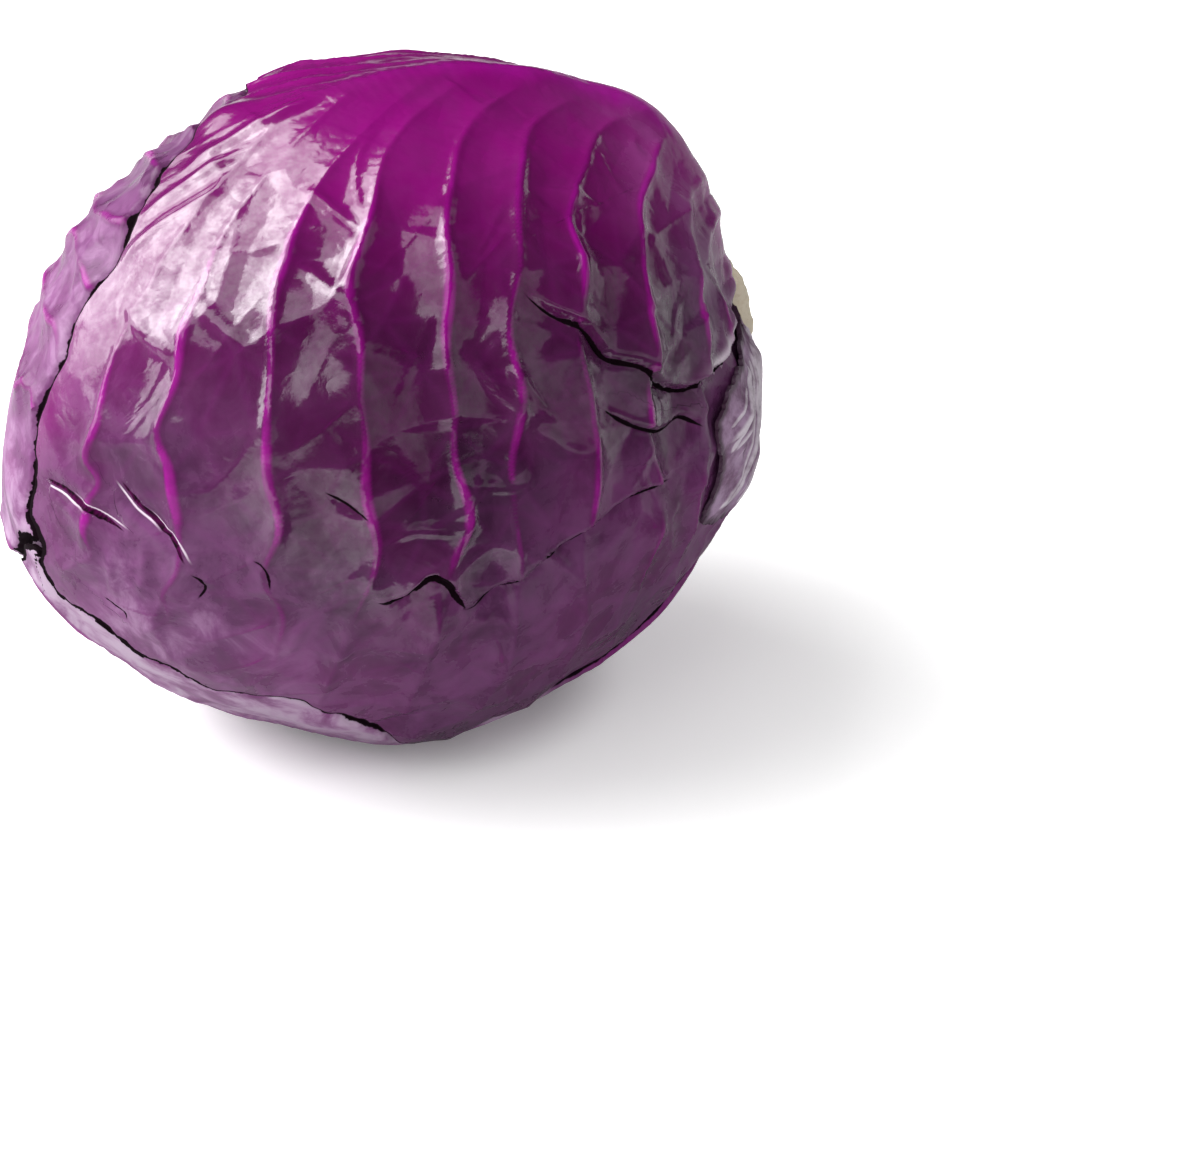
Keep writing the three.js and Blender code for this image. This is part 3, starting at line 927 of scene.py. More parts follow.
# %% Run the tree on a sheet
def dress(sheet, **values):
    """Run the leaf tree on a sheet and return its points, its rib marks and its crease marks."""
    modifier = sheet.modifiers.new("dress leaf", "NODES")
    modifier.node_group = LEAF_TREE
    identifiers = {item.name: item.identifier for item in LEAF_TREE.interface.items_tree
                   if item.in_out == "INPUT"}
    for name, value in values.items():
        modifier[identifiers[name.replace("_", " ")]] = value
    modifier[identifiers["Centre"]] = tuple(CENTRE * MM)
    graph = bpy.context.evaluated_depsgraph_get()
    mesh = bpy.data.meshes.new_from_object(sheet.evaluated_get(graph), depsgraph=graph)
    points = np.zeros(len(mesh.vertices) * 3)
    mesh.vertices.foreach_get("co", points)
    marks = []
    for name in ("rib", "crease"):
        values = np.zeros(len(mesh.vertices))
        mesh.attributes[name].data.foreach_get("value", values)
        marks.append(values)
    bpy.data.meshes.remove(mesh)
    return points.reshape(-1, 3), *marks


print("the leaf tree has", sum(item.in_out == "INPUT" for item in LEAF_TREE.interface.items_tree), "inputs")

# %% [markdown]
# ## Closing a sheet into a leaf
#
# A real leaf has two faces. The inner one is hardly ever seen, so it has a quarter as many points each
# way, and a narrow strip of triangles joins the two along the edge. Solidify would double every face.

# %% Close a dressed sheet
COARSE = 4                # the inner face has every fourth point of the outer one
LEAF_CREASE_ANGLE = 62    # degrees between two faces, from which their edge is shaded sharp


def close_sheet(name, outer, side, thickness, attributes):
    """Give a net of outer points an inner face and a rim. thickness is in mm, one value for each point."""
    index = np.arange(side * side).reshape(side, side)
    picked = index[::COARSE, ::COARSE]
    inwards = CENTRE * MM - outer[picked.ravel()]
    inwards /= np.linalg.norm(inwards, axis=1)[:, None]
    inner = outer[picked.ravel()] + inwards * thickness[picked.ravel()][:, None] * MM
    points = np.concatenate([outer, inner])
    coarse_side = picked.shape[0]
    faces = net_faces(side).tolist()
    faces += (net_faces(coarse_side)[:, ::-1] + len(outer)).tolist()
    fine_rim = net_rim(side)
    coarse_rim = net_rim(coarse_side) + len(outer)
    half = COARSE // 2
    for step, low in enumerate(coarse_rim):
        high = coarse_rim[(step + 1) % len(coarse_rim)]
        fine = [fine_rim[(step * COARSE + k) % len(fine_rim)] for k in range(COARSE + 1)]
        faces += [[fine[k + 1], fine[k], low] for k in range(half)]
        faces += [[fine[k + 1], fine[k], high] for k in range(half, COARSE)]
        faces.append([fine[half], low, high])
    filled = {key: np.concatenate([values, values[picked.ravel()]]) for key, values in attributes.items()}
    piece = mesh_object(name, points, faces, attributes=filled)
    piece.data.set_sharp_from_angle(angle=math.radians(LEAF_CREASE_ANGLE))
    return piece


print("the inner face has one point for", COARSE ** 2, "of the outer one")

# %% [markdown]
# ## Skin, stem and stalk materials
#
# Red cabbage skin is smooth and waxy. Under the wax it is a deep magenta purple, brighter on the ribs,
# and the wax itself is a thin grey-lilac bloom, rubbed off where the head has been handled. The bloom
# is duller than bare skin, so one mask drives both the colour and the roughness.
#
# Each material draws with signals: attributes that its piece carries, and noises on the object's own
# coordinates, each with features of a real size in millimetres.

# %% A material and its signals
def new_material(name, constants, attributes=(), noises=None):
    """A material, its tree, its shader, and a dict of its signals.

    constants are set on the shader's own sockets. A noise is (size of its features in mm, detail,
    roughness, distortion).
    """
    material = bpy.data.materials.new(name)
    material.use_nodes = True
    tree = material.node_tree
    shader = tree.nodes["Principled BSDF"]
    for socket, value in constants.items():
        shader.inputs[socket].default_value = linear(value) if isinstance(value, str) else value
    signals = {key: add_node(tree, "ShaderNodeAttribute", attribute_name=key).outputs["Fac"]
               for key in attributes}
    if noises:
        where = add_node(tree, "ShaderNodeTexCoord").outputs["Object"]
        for key, (size, detail, roughness, distortion) in noises.items():
            signals[key] = add_node(tree, "ShaderNodeTexNoise", {
                "Vector": where, "Scale": 1 / (size * MM), "Detail": detail, "Roughness": roughness,
                "Distortion": distortion}).outputs["Fac"]
    return material, tree, shader, signals


print("a noise with features of 26 mm has a scale of", round(1 / (26 * MM), 1))

# %% [markdown]
# Now the leaf's skin. The dark line of a crack, which is painted shade, and the pale rims of a slit,
# which are painted highlights, are thinner than the mesh's faces. They are worked out in the material
# from the distance to the crack, which changes evenly over a face, and so they stay sharp.

# %% Painted shade in a crack, bare flesh, and painted highlights on slit rims
CRACK_SOFTNESS = 0.14     # degrees over which the dark line fades into the skin
MOST_FLESH_AND_GLINT = 0.8          # how strong the flesh's colour and the painted highlight on a slit's rim get


def crack_shade_flesh_and_glint(tree, given):
    """Two signals: 1 in the painted shade of an open crack, and how pale the skin is, from bare flesh and
    from the painted highlight on a slit's lit rim.
    """
    # 1 near a crack's middle, where it is open: the crack's painted shade
    gap = add_node(tree, MATH, [given["crack"]], operation="ABSOLUTE")
    uneven = add_node(tree, RANGE, [given["uneven"], 0.32, 0.68, 0.3, 0.65], **SMOOTH)
    reach = add_node(tree, MATH, [given["open"], uneven], **TIMES)
    faded_by = add_node(tree, MATH, [reach, CRACK_SOFTNESS], **PLUS)
    line = add_node(tree, RANGE, [gap, reach, faded_by, 1.0, 0.0], **SMOOTH)
    is_open = add_node(tree, RANGE, [given["open"], 0.0, 0.15], **SMOOTH)
    crack = add_node(tree, MATH, [line, is_open], **TIMES)

    # the rims of a slit, a little way from its middle, with a painted highlight on the lit side, and torn
    # flesh
    rim_starts = add_node(tree, RANGE, [gap, 0.5, 0.62], **SMOOTH)
    rim_ends = add_node(tree, RANGE, [gap, 0.72, 0.92, 1.0, 0.0], **SMOOTH)
    rim = add_node(tree, MATH, [rim_starts, rim_ends], **TIMES)
    lit_rim = add_node(tree, MATH, [given["lit"], rim], **TIMES)
    flesh = add_node(tree, MATH, [given["torn"], lit_rim], **LARGER)
    return crack, add_node(tree, MATH, [flesh, MOST_FLESH_AND_GLINT], **TIMES)


print("a crack's dark line fades over", CRACK_SOFTNESS, "degrees")

# %% [markdown]
# Wax lies as the sheet's wax attribute says, but handling rubs it thin in patches, and the ribs and the
# sharpest creases lose it first, because they stand out.

# %% How thick the wax lies
RIB_WAX = 0.35            # share of the wax that stays on a rib's crest
CREASE_WEAR = 0.25        # how much a crease stands out, next to a rib's 1


def wax_layers(tree, given):
    """Two signals: how much wax lies on the skin, and where it is thick enough to look grey."""
    rubbed = add_node(tree, RANGE, [given["patches"], 0.32, 0.66, 0.45, 1.0], **SMOOTH)
    creased = add_node(tree, MATH, [given["crease"], CREASE_WEAR], **TIMES)
    raised = add_node(tree, MATH, [given["rib"], creased], **LARGER)
    off_ribs = add_node(tree, RANGE, [raised, 0.2, 0.8, 1.0, RIB_WAX], **SMOOTH)
    left_on = add_node(tree, MATH, [rubbed, given["wax"]], **TIMES)
    wax = add_node(tree, MATH, [left_on, off_ribs], **TIMES)
    return wax, add_node(tree, RANGE, [wax, 0.4, 1.1], **SMOOTH)


print("a rib's crest keeps", RIB_WAX, "of the wax beside it")

# %% [markdown]
# The colour is built up like the real one, from the deep purple up to the wax, and then the painted
# highlights of slit rims and the painted shade of cracks. Each layer is mixed over the ones below by its
# own signal, so a list of layers says it all.

# %% The skin's colour
DEEPEST_PURPLE = "#24011e"


def skin_colour(tree, given, wax, thick_wax, flesh, crack):
    """The colour of waxed skin, as the output of the last node of a stack of layers."""
    tint = add_node(tree, RANGE, [given["tint"], 0.36, 0.64], **SMOOTH)
    edges = add_node(tree, MATH, [given["crease"], 0.08], **TIMES)
    faded = add_node(tree, RANGE, [given["faded"], 0.35, 0.62, 0.45, 1.0], **SMOOTH)
    on_rib = add_node(tree, RANGE, [given["rib"], 0.3, 0.95, 0.0, 0.9], **SMOOTH)
    vein = add_node(tree, MATH, [on_rib, faded], **TIMES)
    # the colour of a crack's painted shade: near black, and a dark magenta where a slit is lit
    depth = add_node(tree, MIX, {0: given["lit"], 6: "#10030b", 7: "#4d0740"}, **COLOUR).outputs[2]
    colour = DEEPEST_PURPLE
    for amount, layer in (
            (tint, "#400235"),              # a redder purple in places
            (given["fresh"], "#7f0269"),    # young, bright skin along the midrib
            (edges, "#8a1a80"),             # stretched skin on creases
            (vein, "#960c86"),              # magenta ribs
            # the wax's pale grey low down also stands for a painted sheen of the white table
            (wax, "#a0629c"),               # thin wax over purple
            (thick_wax, "#bba4bb"),         # thick wax, nearly grey
            (flesh, "#f0dfee"),             # bare flesh, and the painted highlight on a slit's lit rim
            (crack, depth)):                # painted shade in a crack, less dark in a lit slit
        colour = add_node(tree, MIX, {0: amount, 6: colour, 7: layer}, **COLOUR).outputs[2]
    return colour


print("the deepest purple in linear light:", [round(channel, 4) for channel in linear(DEEPEST_PURPLE)])

# %% [markdown]
# The shine is a clear coat over the skin. The real wax shines like polish where it is thin, and the coat
# is weaker where the wax is thick, smeared or cracked. The wrinkles and the grain of the skin are too
# low for the mesh, so two bumps draw them.

# %% The skin's shine and grain
WRINKLE_HEIGHT = 0.25 * MM
GRAIN_HEIGHT = 0.025 * MM


def skin_roughness(tree, given, wax, crack):
    """Wax is duller than skin, and a crack is matt."""
    dull = add_node(tree, RANGE, [wax, 0.0, 0.7, 0.15, 0.42], **SMOOTH)
    patchy = add_node(tree, RANGE, [given["patches"], 0.3, 0.7, 0.0, 0.1], **SMOOTH)
    rough = add_node(tree, MATH, [dull, patchy], **PLUS)
    return add_node(tree, MATH, [rough, crack], **LARGER).outputs[0]


def skin_shine(tree, given, crack):
    """Strong on bare skin, weak on wax, broken by smears, and none in a crack, under its painted shade."""
    rubbings = add_node(tree, RANGE, [given["patches"], 0.35, 0.62, 0.55, 1.0], **SMOOTH)
    mottled = add_node(tree, RANGE, [given["mottled"], 0.36, 0.62, 0.52, 0.95], **SMOOTH)
    smears = add_node(tree, MATH, [rubbings, mottled], **TIMES)
    bare = add_node(tree, RANGE, [given["wax"], 0.16, 0.38, 1.0, 0.14], **SMOOTH)
    clear = add_node(tree, MATH, [bare, smears], **TIMES)
    clear = add_node(tree, MATH, [clear, crack], **MINUS)
    return add_node(tree, MATH, [clear, 0.0], **LARGER).outputs[0]


def skin_grain(tree, given):
    """Puckers between the ribs, creased where their noise passes its middle, and skin cells on top."""
    centred = add_node(tree, MATH, [given["wrinkle"], 0.5], **MINUS)
    folded = add_node(tree, MATH, [centred], operation="ABSOLUTE")
    soft = add_node(tree, BUMP, {"Strength": 1.0, "Distance": WRINKLE_HEIGHT, "Height": folded})
    return add_node(tree, BUMP, {"Strength": 1.0, "Distance": GRAIN_HEIGHT, "Height": given["grain"],
                                 "Normal": soft}).outputs[0]


print("wrinkles are", WRINKLE_HEIGHT / MM, "mm high, and grain", round(GRAIN_HEIGHT / MM, 3), "mm")

# %% [markdown]
# All of it together is the skin as it grew: smooth, tight and waxed, so it mirrors softly, and greys where
# the wax is thick. On top of that it has painted shade in its cracks and painted highlights on its slits.

# %% Waxy leaf skin
def make_leaf_material():
    """Living leaf skin under its own wax."""
    material, tree, shader, given = new_material("waxy_red_cabbage_leaf_skin", {
        "IOR": 1.45, "Specular IOR Level": 0.12, "Coat Roughness": 0.13, "Coat IOR": 2.0,
    }, ("rib", "fresh", "wax", "crease", "crack", "open", "torn", "lit"), {
        "tint": (26, 3.0, 0.55, 0.0),       # a slow change of purple over a leaf
        "faded": (9, 3.0, 0.55, 0.0),       # stronger and weaker lengths of a rib
        "patches": (11, 5.0, 0.62, 0.5),    # wax that handling has rubbed thin
        "mottled": (3.2, 6.0, 0.7, 0.0),    # smears in the shine
        "uneven": (3.5, 3.0, 0.55, 0.0),    # wider and narrower lengths of a crack
        "wrinkle": (6.0, 1.5, 0.5, 0.3),    # puckers between the ribs
        "grain": (0.8, 3.0, 0.55, 0.0),     # skin cells, drawn coarser than they are, or they wouldn't show
    })
    crack, flesh = crack_shade_flesh_and_glint(tree, given)
    wax, thick_wax = wax_layers(tree, given)
    normal = skin_grain(tree, given)
    for source, socket in (
            (skin_colour(tree, given, wax, thick_wax, flesh, crack), "Base Color"),
            (skin_roughness(tree, given, wax, crack), "Roughness"),
            (skin_shine(tree, given, crack), "Coat Weight"),
            (normal, "Normal"),
            (normal, "Coat Normal")):
        tree.links.new(source, shader.inputs[socket])
    return material


LEAF_SKIN = make_leaf_material()
print(LEAF_SKIN.name, "has", len(LEAF_SKIN.node_tree.nodes), "nodes")

# %% [markdown]
# The stem was cut through with a knife. Its face is pale, matt and fibrous, a little browned by air.

# %% Cut stem flesh
def make_stem_material():
    """Stem flesh cut with a knife: pale and matt, with fibre ends, a ring of vessels and a brown rind."""
    material, tree, shader, given = new_material("cut_cabbage_stem_flesh", {"Roughness": 0.6},
                                                 ("vessels", "brown"), {
        "stain": (7, 5.0, 0.65, 0.0),       # patches browned by air
        "fibre": (1.0, 3.0, 0.55, 0.0),     # cut ends of fibres
    })
    stained = add_node(tree, RANGE, [given["stain"], 0.45, 0.72], **SMOOTH)
    fibres = add_node(tree, RANGE, [given["fibre"], 0.5, 0.75, 0.0, 0.4], **SMOOTH)
    ring = add_node(tree, MATH, [given["vessels"], 0.6], **TIMES)
    uneven = add_node(tree, RANGE, [given["stain"], 0.3, 0.6, 0.5, 1.0], **SMOOTH)
    rind = add_node(tree, MATH, [given["brown"], uneven], **TIMES)
    colour = "#efe3cb"
    for amount, layer in ((stained, "#cdb48f"), (fibres, "#d4c09c"), (ring, "#b58d5c"), (rind, "#7a4a3c")):
        colour = add_node(tree, MIX, {0: amount, 6: colour, 7: layer}, **COLOUR).outputs[2]
    tree.links.new(colour, shader.inputs["Base Color"])
    bump = add_node(tree, BUMP, {"Strength": 0.6, "Distance": 0.3 * MM, "Height": given["fibre"]})
    tree.links.new(bump.outputs[0], shader.inputs["Normal"])
    return material


STEM_FLESH = make_stem_material()
print(STEM_FLESH.name, "has", len(STEM_FLESH.node_tree.nodes), "nodes")

# %% [markdown]
# The bases of older leaves dry to a grey lilac with whitish ribs. Their torn edges are darker, partly
# as dry skin and partly as painted shade where a stalk stands off the leaf.

# %% Dry stalk skin
def make_stalk_material():
    """Torn leaf stalk, dry from the air: a dull lilac skin that has shrunk on its pale ribs. Its torn edge
    is darker, partly dry skin and partly painted shade.
    """
    material, tree, shader, given = new_material("dry_cabbage_stalk_skin", {
        "Roughness": 0.5, "Specular IOR Level": 0.3,
    }, ("rib", "dry_and_shaded_edge"), {
        "stain": (7, 5.0, 0.62, 0.0),       # darker and paler patches
        "grain": (1.6, 4.0, 0.55, 0.0),     # shrunken skin
    })
    stained = add_node(tree, RANGE, [given["stain"], 0.36, 0.66], **SMOOTH)
    pale = add_node(tree, RANGE, [given["stain"], 0.3, 0.6, 0.35, 0.9], **SMOOTH)
    on_rib = add_node(tree, RANGE, [given["rib"], 0.15, 0.5], **SMOOTH)
    rib = add_node(tree, MATH, [on_rib, pale], **TIMES)
    # a darker torn edge: partly dry skin, partly painted shade where the stalk stands off the leaf
    dry_edge_and_shade = add_node(tree, MATH, [given["dry_and_shaded_edge"], 0.8], **TIMES)
    colour = "#775273"
    for amount, layer in ((stained, "#b698b8"), (rib, "#e6dce6"), (dry_edge_and_shade, "#35192b")):
        colour = add_node(tree, MIX, {0: amount, 6: colour, 7: layer}, **COLOUR).outputs[2]
    tree.links.new(colour, shader.inputs["Base Color"])
    bump = add_node(tree, BUMP, {"Strength": 0.6, "Distance": 0.35 * MM, "Height": given["grain"]})
    tree.links.new(bump.outputs[0], shader.inputs["Normal"])
    return material


STALK_SKIN = make_stalk_material()
print(STALK_SKIN.name, "has", len(STALK_SKIN.node_tree.nodes), "nodes")

# %% [markdown]
# The inner leaves are moist and bare of wax. They hardly ever show, so two purples and an even gloss are
# enough.

# %% Moist inner leaf
def make_inner_material():
    """Leaf that grew in the dark inside: moist, evenly purple and a little glossy."""
    material, tree, shader, given = new_material("moist_inner_cabbage_leaf", {"Roughness": 0.4}, (), {
        "tint": (12, 4.0, 0.55, 0.0)})
    tint = add_node(tree, RANGE, [given["tint"], 0.35, 0.65], **SMOOTH)
    colour = add_node(tree, MIX, {0: tint, 6: "#4a0b3c", 7: "#8a2f80"}, **COLOUR).outputs[2]
    tree.links.new(colour, shader.inputs["Base Color"])
    return material


INNER_LEAF = make_inner_material()
print(INNER_LEAF.name, "has", len(INNER_LEAF.node_tree.nodes), "nodes")

# %% [markdown]
# ## The three outer leaves
#
# What a leaf's skin is like changes over it. Wax is rubbed off the top, and lies thick low down, beside
# the stem and on the crown. Its pale grey low down also stands for a painted sheen of the white table,
# one patch of it on the lower crown side for painted light, and the skin is darker low down, most at
# the very bottom, as painted shade. Skin near the midrib is young and bright. The facets are deep where
# the leaf is slack, and small crumples gather round the stem. Each of these is worked out here for every
# point of a leaf, by a formula on its direction. Painting them by hand would have to be done again
# for every change of shape.

# %% How a leaf's skin changes over it
# wax low down, beside the stem and on the crown; the low-down wax also stands for a painted sheen of the
# white table
LOW_WAX_AND_SHEEN, STEM_WAX, CROWN_WAX = 0.35, 0.42, 0.22
HANDLED_WAX_AND_LIGHT = [
    (0.2, 78, 88, 22),      # how much more wax, theta, phi, spread: where a hand smeared it
    # paler wax on the lower crown side, which also stands for painted light there
    (0.22, 150, 112, 22),
]


def wax_at(directions, least):
    """How waxy the skin is: rubbed clean on top, dull low down, beside the stem and on the crown.

    The pale wax low down also stands for a painted sheen of the white table, and its fade near the very
    bottom is painted shade.
    """
    theta, _ = angles_of(directions)
    below = -directions[:, 2]
    # pale wax low down also stands for a painted sheen of the white table, and its fade near the very
    # bottom is painted shade
    low = smooth_step(below, -0.25, 0.6) * (1 - 0.7 * smooth_step(below, 0.75, 0.95))
    by_stem = 1 - smooth_step(theta, 36, 70)
    on_crown = smooth_step(theta, 118, 165)
    handled_wax_and_light = sum(amount * hill(directions, *place) for amount, *place in HANDLED_WAX_AND_LIGHT)
    return np.clip(least + LOW_WAX_AND_SHEEN * low + STEM_WAX * by_stem + CROWN_WAX * on_crown + handled_wax_and_light, 0, 1)


def freshness(directions, from_midrib, least_wax):
    """How young and bright the skin is: most along the midrib, less on the crown, and less low down,
    where the darker skin is painted shade.
    """
    theta, _ = angles_of(directions)
    # darker on the crown, and darker low down as painted shade under the head
    crown_dim_and_low_shade = np.maximum(0.45 * smooth_step(theta, 98, 128), 0.8 * smooth_step(-directions[:, 2], 0.1, 0.6))
    return (1 - smooth_step(from_midrib, 18, 62)) * (1 - crown_dim_and_low_shade) * (1 - least_wax)


def slack_at(directions, from_midrib, creased):
    """How deep the facets are: shallow by the midrib, deep on the near belly and the shoulder."""
    slack = 0.25 + 0.75 * smooth_step(from_midrib, 14, 46) + 0.3 * hill(directions, 120, 112, 32)
    slack = slack + 0.6 * hill(directions, 126, 28, 18)
    return creased * slack * (1 - 0.7 * hill(directions, 127, 62, 9))


def crumple_at(directions, slack):
    """How crumpled the skin is in small: below the flap, and round the stem."""
    theta, _ = angles_of(directions)
    return hill(directions, 60, 86, 17) + 0.9 * (1 - smooth_step(theta, 30, 62)) * slack


top_and_below = direction_at([90, 90], [0, 150])
print("wax on top of the head and low down:", wax_at(top_and_below, 0.05).round(2).tolist())

# %% [markdown]
# A dark line of painted shade runs just inside a leaf's own edge, and another one where it dives under
# the leaf above, so the two sides of a joint meet in the dark. Over the crown the joint gapes, and at
# its torn corner it is widest.

# %% Cracks along the edges
DIVE = 0.8                # degrees outside the edge above, where a leaf gets the painted shade of a crack


def leaf_cracks(directions, inside, covered, own_cracks):
    """The dark line of painted shade just inside a leaf's own edge, and the ones where it dives under other
    leaves.
    """
    theta, _ = angles_of(directions)
    crown = smooth_step(theta, 104, 122)
    wide = hill(directions, 156, 146, 20) + hill(directions, 172, 120, 8)
    own = 0.36 + 0.2 * crown + 0.9 * wide
    below = 0.5 + 0.4 * crown + 1.5 * wide
    return nearest_crack([(inside, own)] + own_cracks + [(deep + DIVE, below) for deep in covered])


def finish_piece(piece, material, node):
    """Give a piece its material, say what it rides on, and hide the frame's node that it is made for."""
    piece.data.materials.append(material)
    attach(piece, "root")
    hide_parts(node)
    print(piece.name, "has", len(piece.data.polygons), "faces")


print("a leaf goes dark", DIVE, "degrees before it passes under another")

# %% [markdown]
# Each leaf goes through the same steps: a net of points on the skin, its folds and tears, the tree that
# raises ribs and facets, and then the second face. The three leaves share one set of facets. A leaf
# that lies on another takes its form from it, and so they fit snugly.

# %% What the outer leaves share
EDGE_THICKNESS = 0.7      # mm, of a leaf at its edge
THICKNESS = 1.0           # mm, of a leaf away from it
STEM_THICKNESS = 1.5      # mm more at the stem
TOP_LEVELS = [45, 57, 70, 84, 97, 109, 123, 135.5, 151, 165]   # theta of the top leaf's side ribs
FACETS = {                # a real leaf's facets are about a finger wide, and its crumples half of that
    "Facet_size": 9 * MM, "Facet_height": 0.85 * MM, "Crumple_size": 4.5 * MM, "Crumple_height": 0.75 * MM,
    "Seed": 1,
}
LEAF_RELIEF = {
    "Midrib_height": 3.0 * MM, "Midrib_width": 8.5 * MM, "Midrib_shoulder": 0.0,
    "Side_ribs_height": 0.75 * MM, "Side_ribs_width": 1.25 * MM, "Side_ribs_shoulder": 1.4,
    "Branches_height": 0.35 * MM, "Branches_width": 0.9 * MM, "Branches_shoulder": 0.9,
    "Fold_size": 32 * MM, "Fold_height": 4.0 * MM, **FACETS,
}


def side_ribs(levels, midrib_phi, seed):
    """All the side ribs of a leaf, on both sides of its midrib."""
    return rib_object("side_ribs", [
        side_rib(level, midrib_phi, turn, 1.2, seed * 100 + k * 2 + turn)
        for turn in (1, -1) for k, level in enumerate(levels)])


print("a leaf is", THICKNESS, "mm thick, and", THICKNESS + STEM_THICKNESS, "mm at the stem")

# %% [markdown]
# One function makes a leaf, from the net to the finished piece. Its ribs and its sheet are only helpers,
# and go when the leaf is dressed.

# %% Make one outer leaf
def make_leaf(plan, covering, side, midrib_path, levels, seed, least_wax, marks=None, creased=1.0):
    """One outer leaf. midrib_path is a list of (theta, phi), levels are the side ribs' thetas."""
    directions = leaf_net(plan, side)
    inside = plan.inside(directions)
    covered = [other.inside(directions) for other in covering]
    radius = leaf_radius(directions, plan, covered)
    nothing = np.zeros(len(radius))
    own_cracks, pale = [], {"torn": nothing, "lit": nothing}
    if marks:
        relief, own_cracks, pale = marks(directions)
        radius = radius + relief
    crack, opened = leaf_cracks(directions, inside, covered, own_cracks)
    exposed = 1 - smooth_step(np.max(covered, axis=0), -1, 2) if covered else nothing + 1
    theta, phi = angles_of(directions)
    midrib_phi = midrib_path[-1][1]
    from_midrib = np.abs((phi - midrib_phi + 180) % 360 - 180)
    slack = slack_at(directions, from_midrib, creased)

    sheet = mesh_object(
        plan.node + "_sheet", (directions * radius[:, None] + CENTRE) * MM, net_faces(side).tolist(),
        attributes={"rib": nothing, "slack": slack, "crumple": crumple_at(directions, slack),
                    "exposed": exposed})
    path = smooth_curve(midrib_path, 60, closed=False)
    midrib = rib_object("midrib", [(path[:, 0], path[:, 1], 1 - 0.72 * smooth_step(path[:, 0], 35, 118))])
    ribs = side_ribs(levels, midrib_phi, seed)
    branches = rib_object("branches", [
        rib for turn in (1, -1) for rib in branch_ribs(levels, midrib_phi, turn, seed * 10 + turn + 1)])
    dressed, rib, crease = dress(
        sheet, Midrib=midrib, Side_ribs=ribs, Branches=branches, Folding_ribs=FOLDING_RIBS,
        Material=LEAF_SKIN, **LEAF_RELIEF)
    for helper in (sheet, midrib, ribs, branches):
        bpy.data.objects.remove(helper)

    dressed[:, 2] = np.maximum(dressed[:, 2], 0)     # it rests flat on the floor
    thickness = EDGE_THICKNESS + (THICKNESS - EDGE_THICKNESS) * smooth_step(inside, 0, 8)
    thickness = thickness + STEM_THICKNESS * (1 - smooth_step(theta, 10, 30))
    piece = close_sheet(plan.node + "_skin", dressed, side, thickness, {
        "rib": rib, "crease": crease * slack, "wax": wax_at(directions, least_wax), "crack": crack,
        "open": opened, "fresh": freshness(directions, from_midrib, least_wax), **pale})
    finish_piece(piece, LEAF_SKIN, plan.node)


print("a leaf is dressed with", len(LEAF_RELIEF), "values")

# %% [markdown]
# The top leaf covers the lower one, and both cover the far one. The top leaf's ribs also set where the
# other leaves and the stalk bases fold, so they are made first and kept until those are done.

# %% Make the three outer leaves
FOLDING_RIBS = side_ribs(TOP_LEVELS, 3, 1)
make_leaf(TOP_LEAF, [], 293,
          [(9, 52), (20, 42), (30, 30), (40, 18), (50, 10), (62, 6), (87, 3), (111, 3), (122, 3)],
          TOP_LEVELS, seed=1, least_wax=0.05, marks=top_leaf_marks)
make_leaf(LOWER_LEAF, [TOP_LEAF], 249, [(9, 140), (60, 140), (118, 140)],
          [44 + 12.5 * k for k in range(11)], seed=2, least_wax=0.6)
make_leaf(FAR_LEAF, [TOP_LEAF, LOWER_LEAF], 249, [(9, -82), (60, -82), (118, -82)],
          [44 + 9.5 * k for k in range(14)], seed=3, least_wax=0.42, creased=0.7)

# %% [markdown]
# ## Leaf stalks
#
# Older leaves were pulled off for sale, and the bases of three of them stay on the head round the stem.
# Each is a thick torn sheet with pale ribs that fan out from the stem and dark dry skin between them.
# They are sheets like the leaves, so the same net and the same tree make them, with other sizes.

# %% The stalk bases' plans and sizes
STALK_TOP = 2.3           # mm that a stalk base stands above the head's skin
STALK_EDGE = 1.0          # mm that its torn edge does
STALK_THICKNESS = 1.7     # mm at the stem
STALK_THINNER = 0.9       # mm less at its torn edge
STALK_RIBS = 7            # ribs either side of its middle one
STALK_REACH = 66          # degrees that a rib runs from the root
STALK_SIDE = 161
STALK_RELIEF = {
    "Midrib_height": 1.4 * MM, "Midrib_width": 1.0 * MM, "Midrib_shoulder": 0.1,
    "Side_ribs_height": 0.8 * MM, "Side_ribs_width": 0.7 * MM, "Side_ribs_shoulder": 0.1,
    "Branches_height": 0.0, "Branches_width": 0.6 * MM, "Branches_shoulder": 0.0,
    "Fold_size": 18 * MM, "Fold_height": 3.0 * MM, **FACETS,
}

# plan, root of the ribs, a place on the middle one, and degrees from it to the outermost
STALKS = [
    (Plan("leaf_stalk_far", (29, -134), [
        (13, -168), (26, -160), (40, -152), (47, -141), (43, -130), (46, -119), (34, -110), (22, -106),
        (13, -100), (10, -134)], notch=1.0, depth=0.0, seed=21), (13, -134), (46, -134), 48),
    (Plan("leaf_stalk_near", (33, 98), [
        (13, 62), (24, 70), (36, 76), (46, 80), (52, 88), (50, 98), (53, 108), (44, 116), (30, 122),
        (13, 130), (10, 95)], notch=1.0, depth=0.0, seed=22), (26, 62), (34, 112), 52),
    (Plan("leaf_stalk_top", (27, -49), [
        (13, -84), (24, -75), (36, -68), (43, -58), (39, -48), (42, -38), (32, -29), (22, -22), (13, -16),
        (10, -49)], notch=1.0, depth=0.0, seed=23), (12, -49), (43, -49), 50),
]
print("stalk bases:", ", ".join(plan.node for plan, *_ in STALKS))

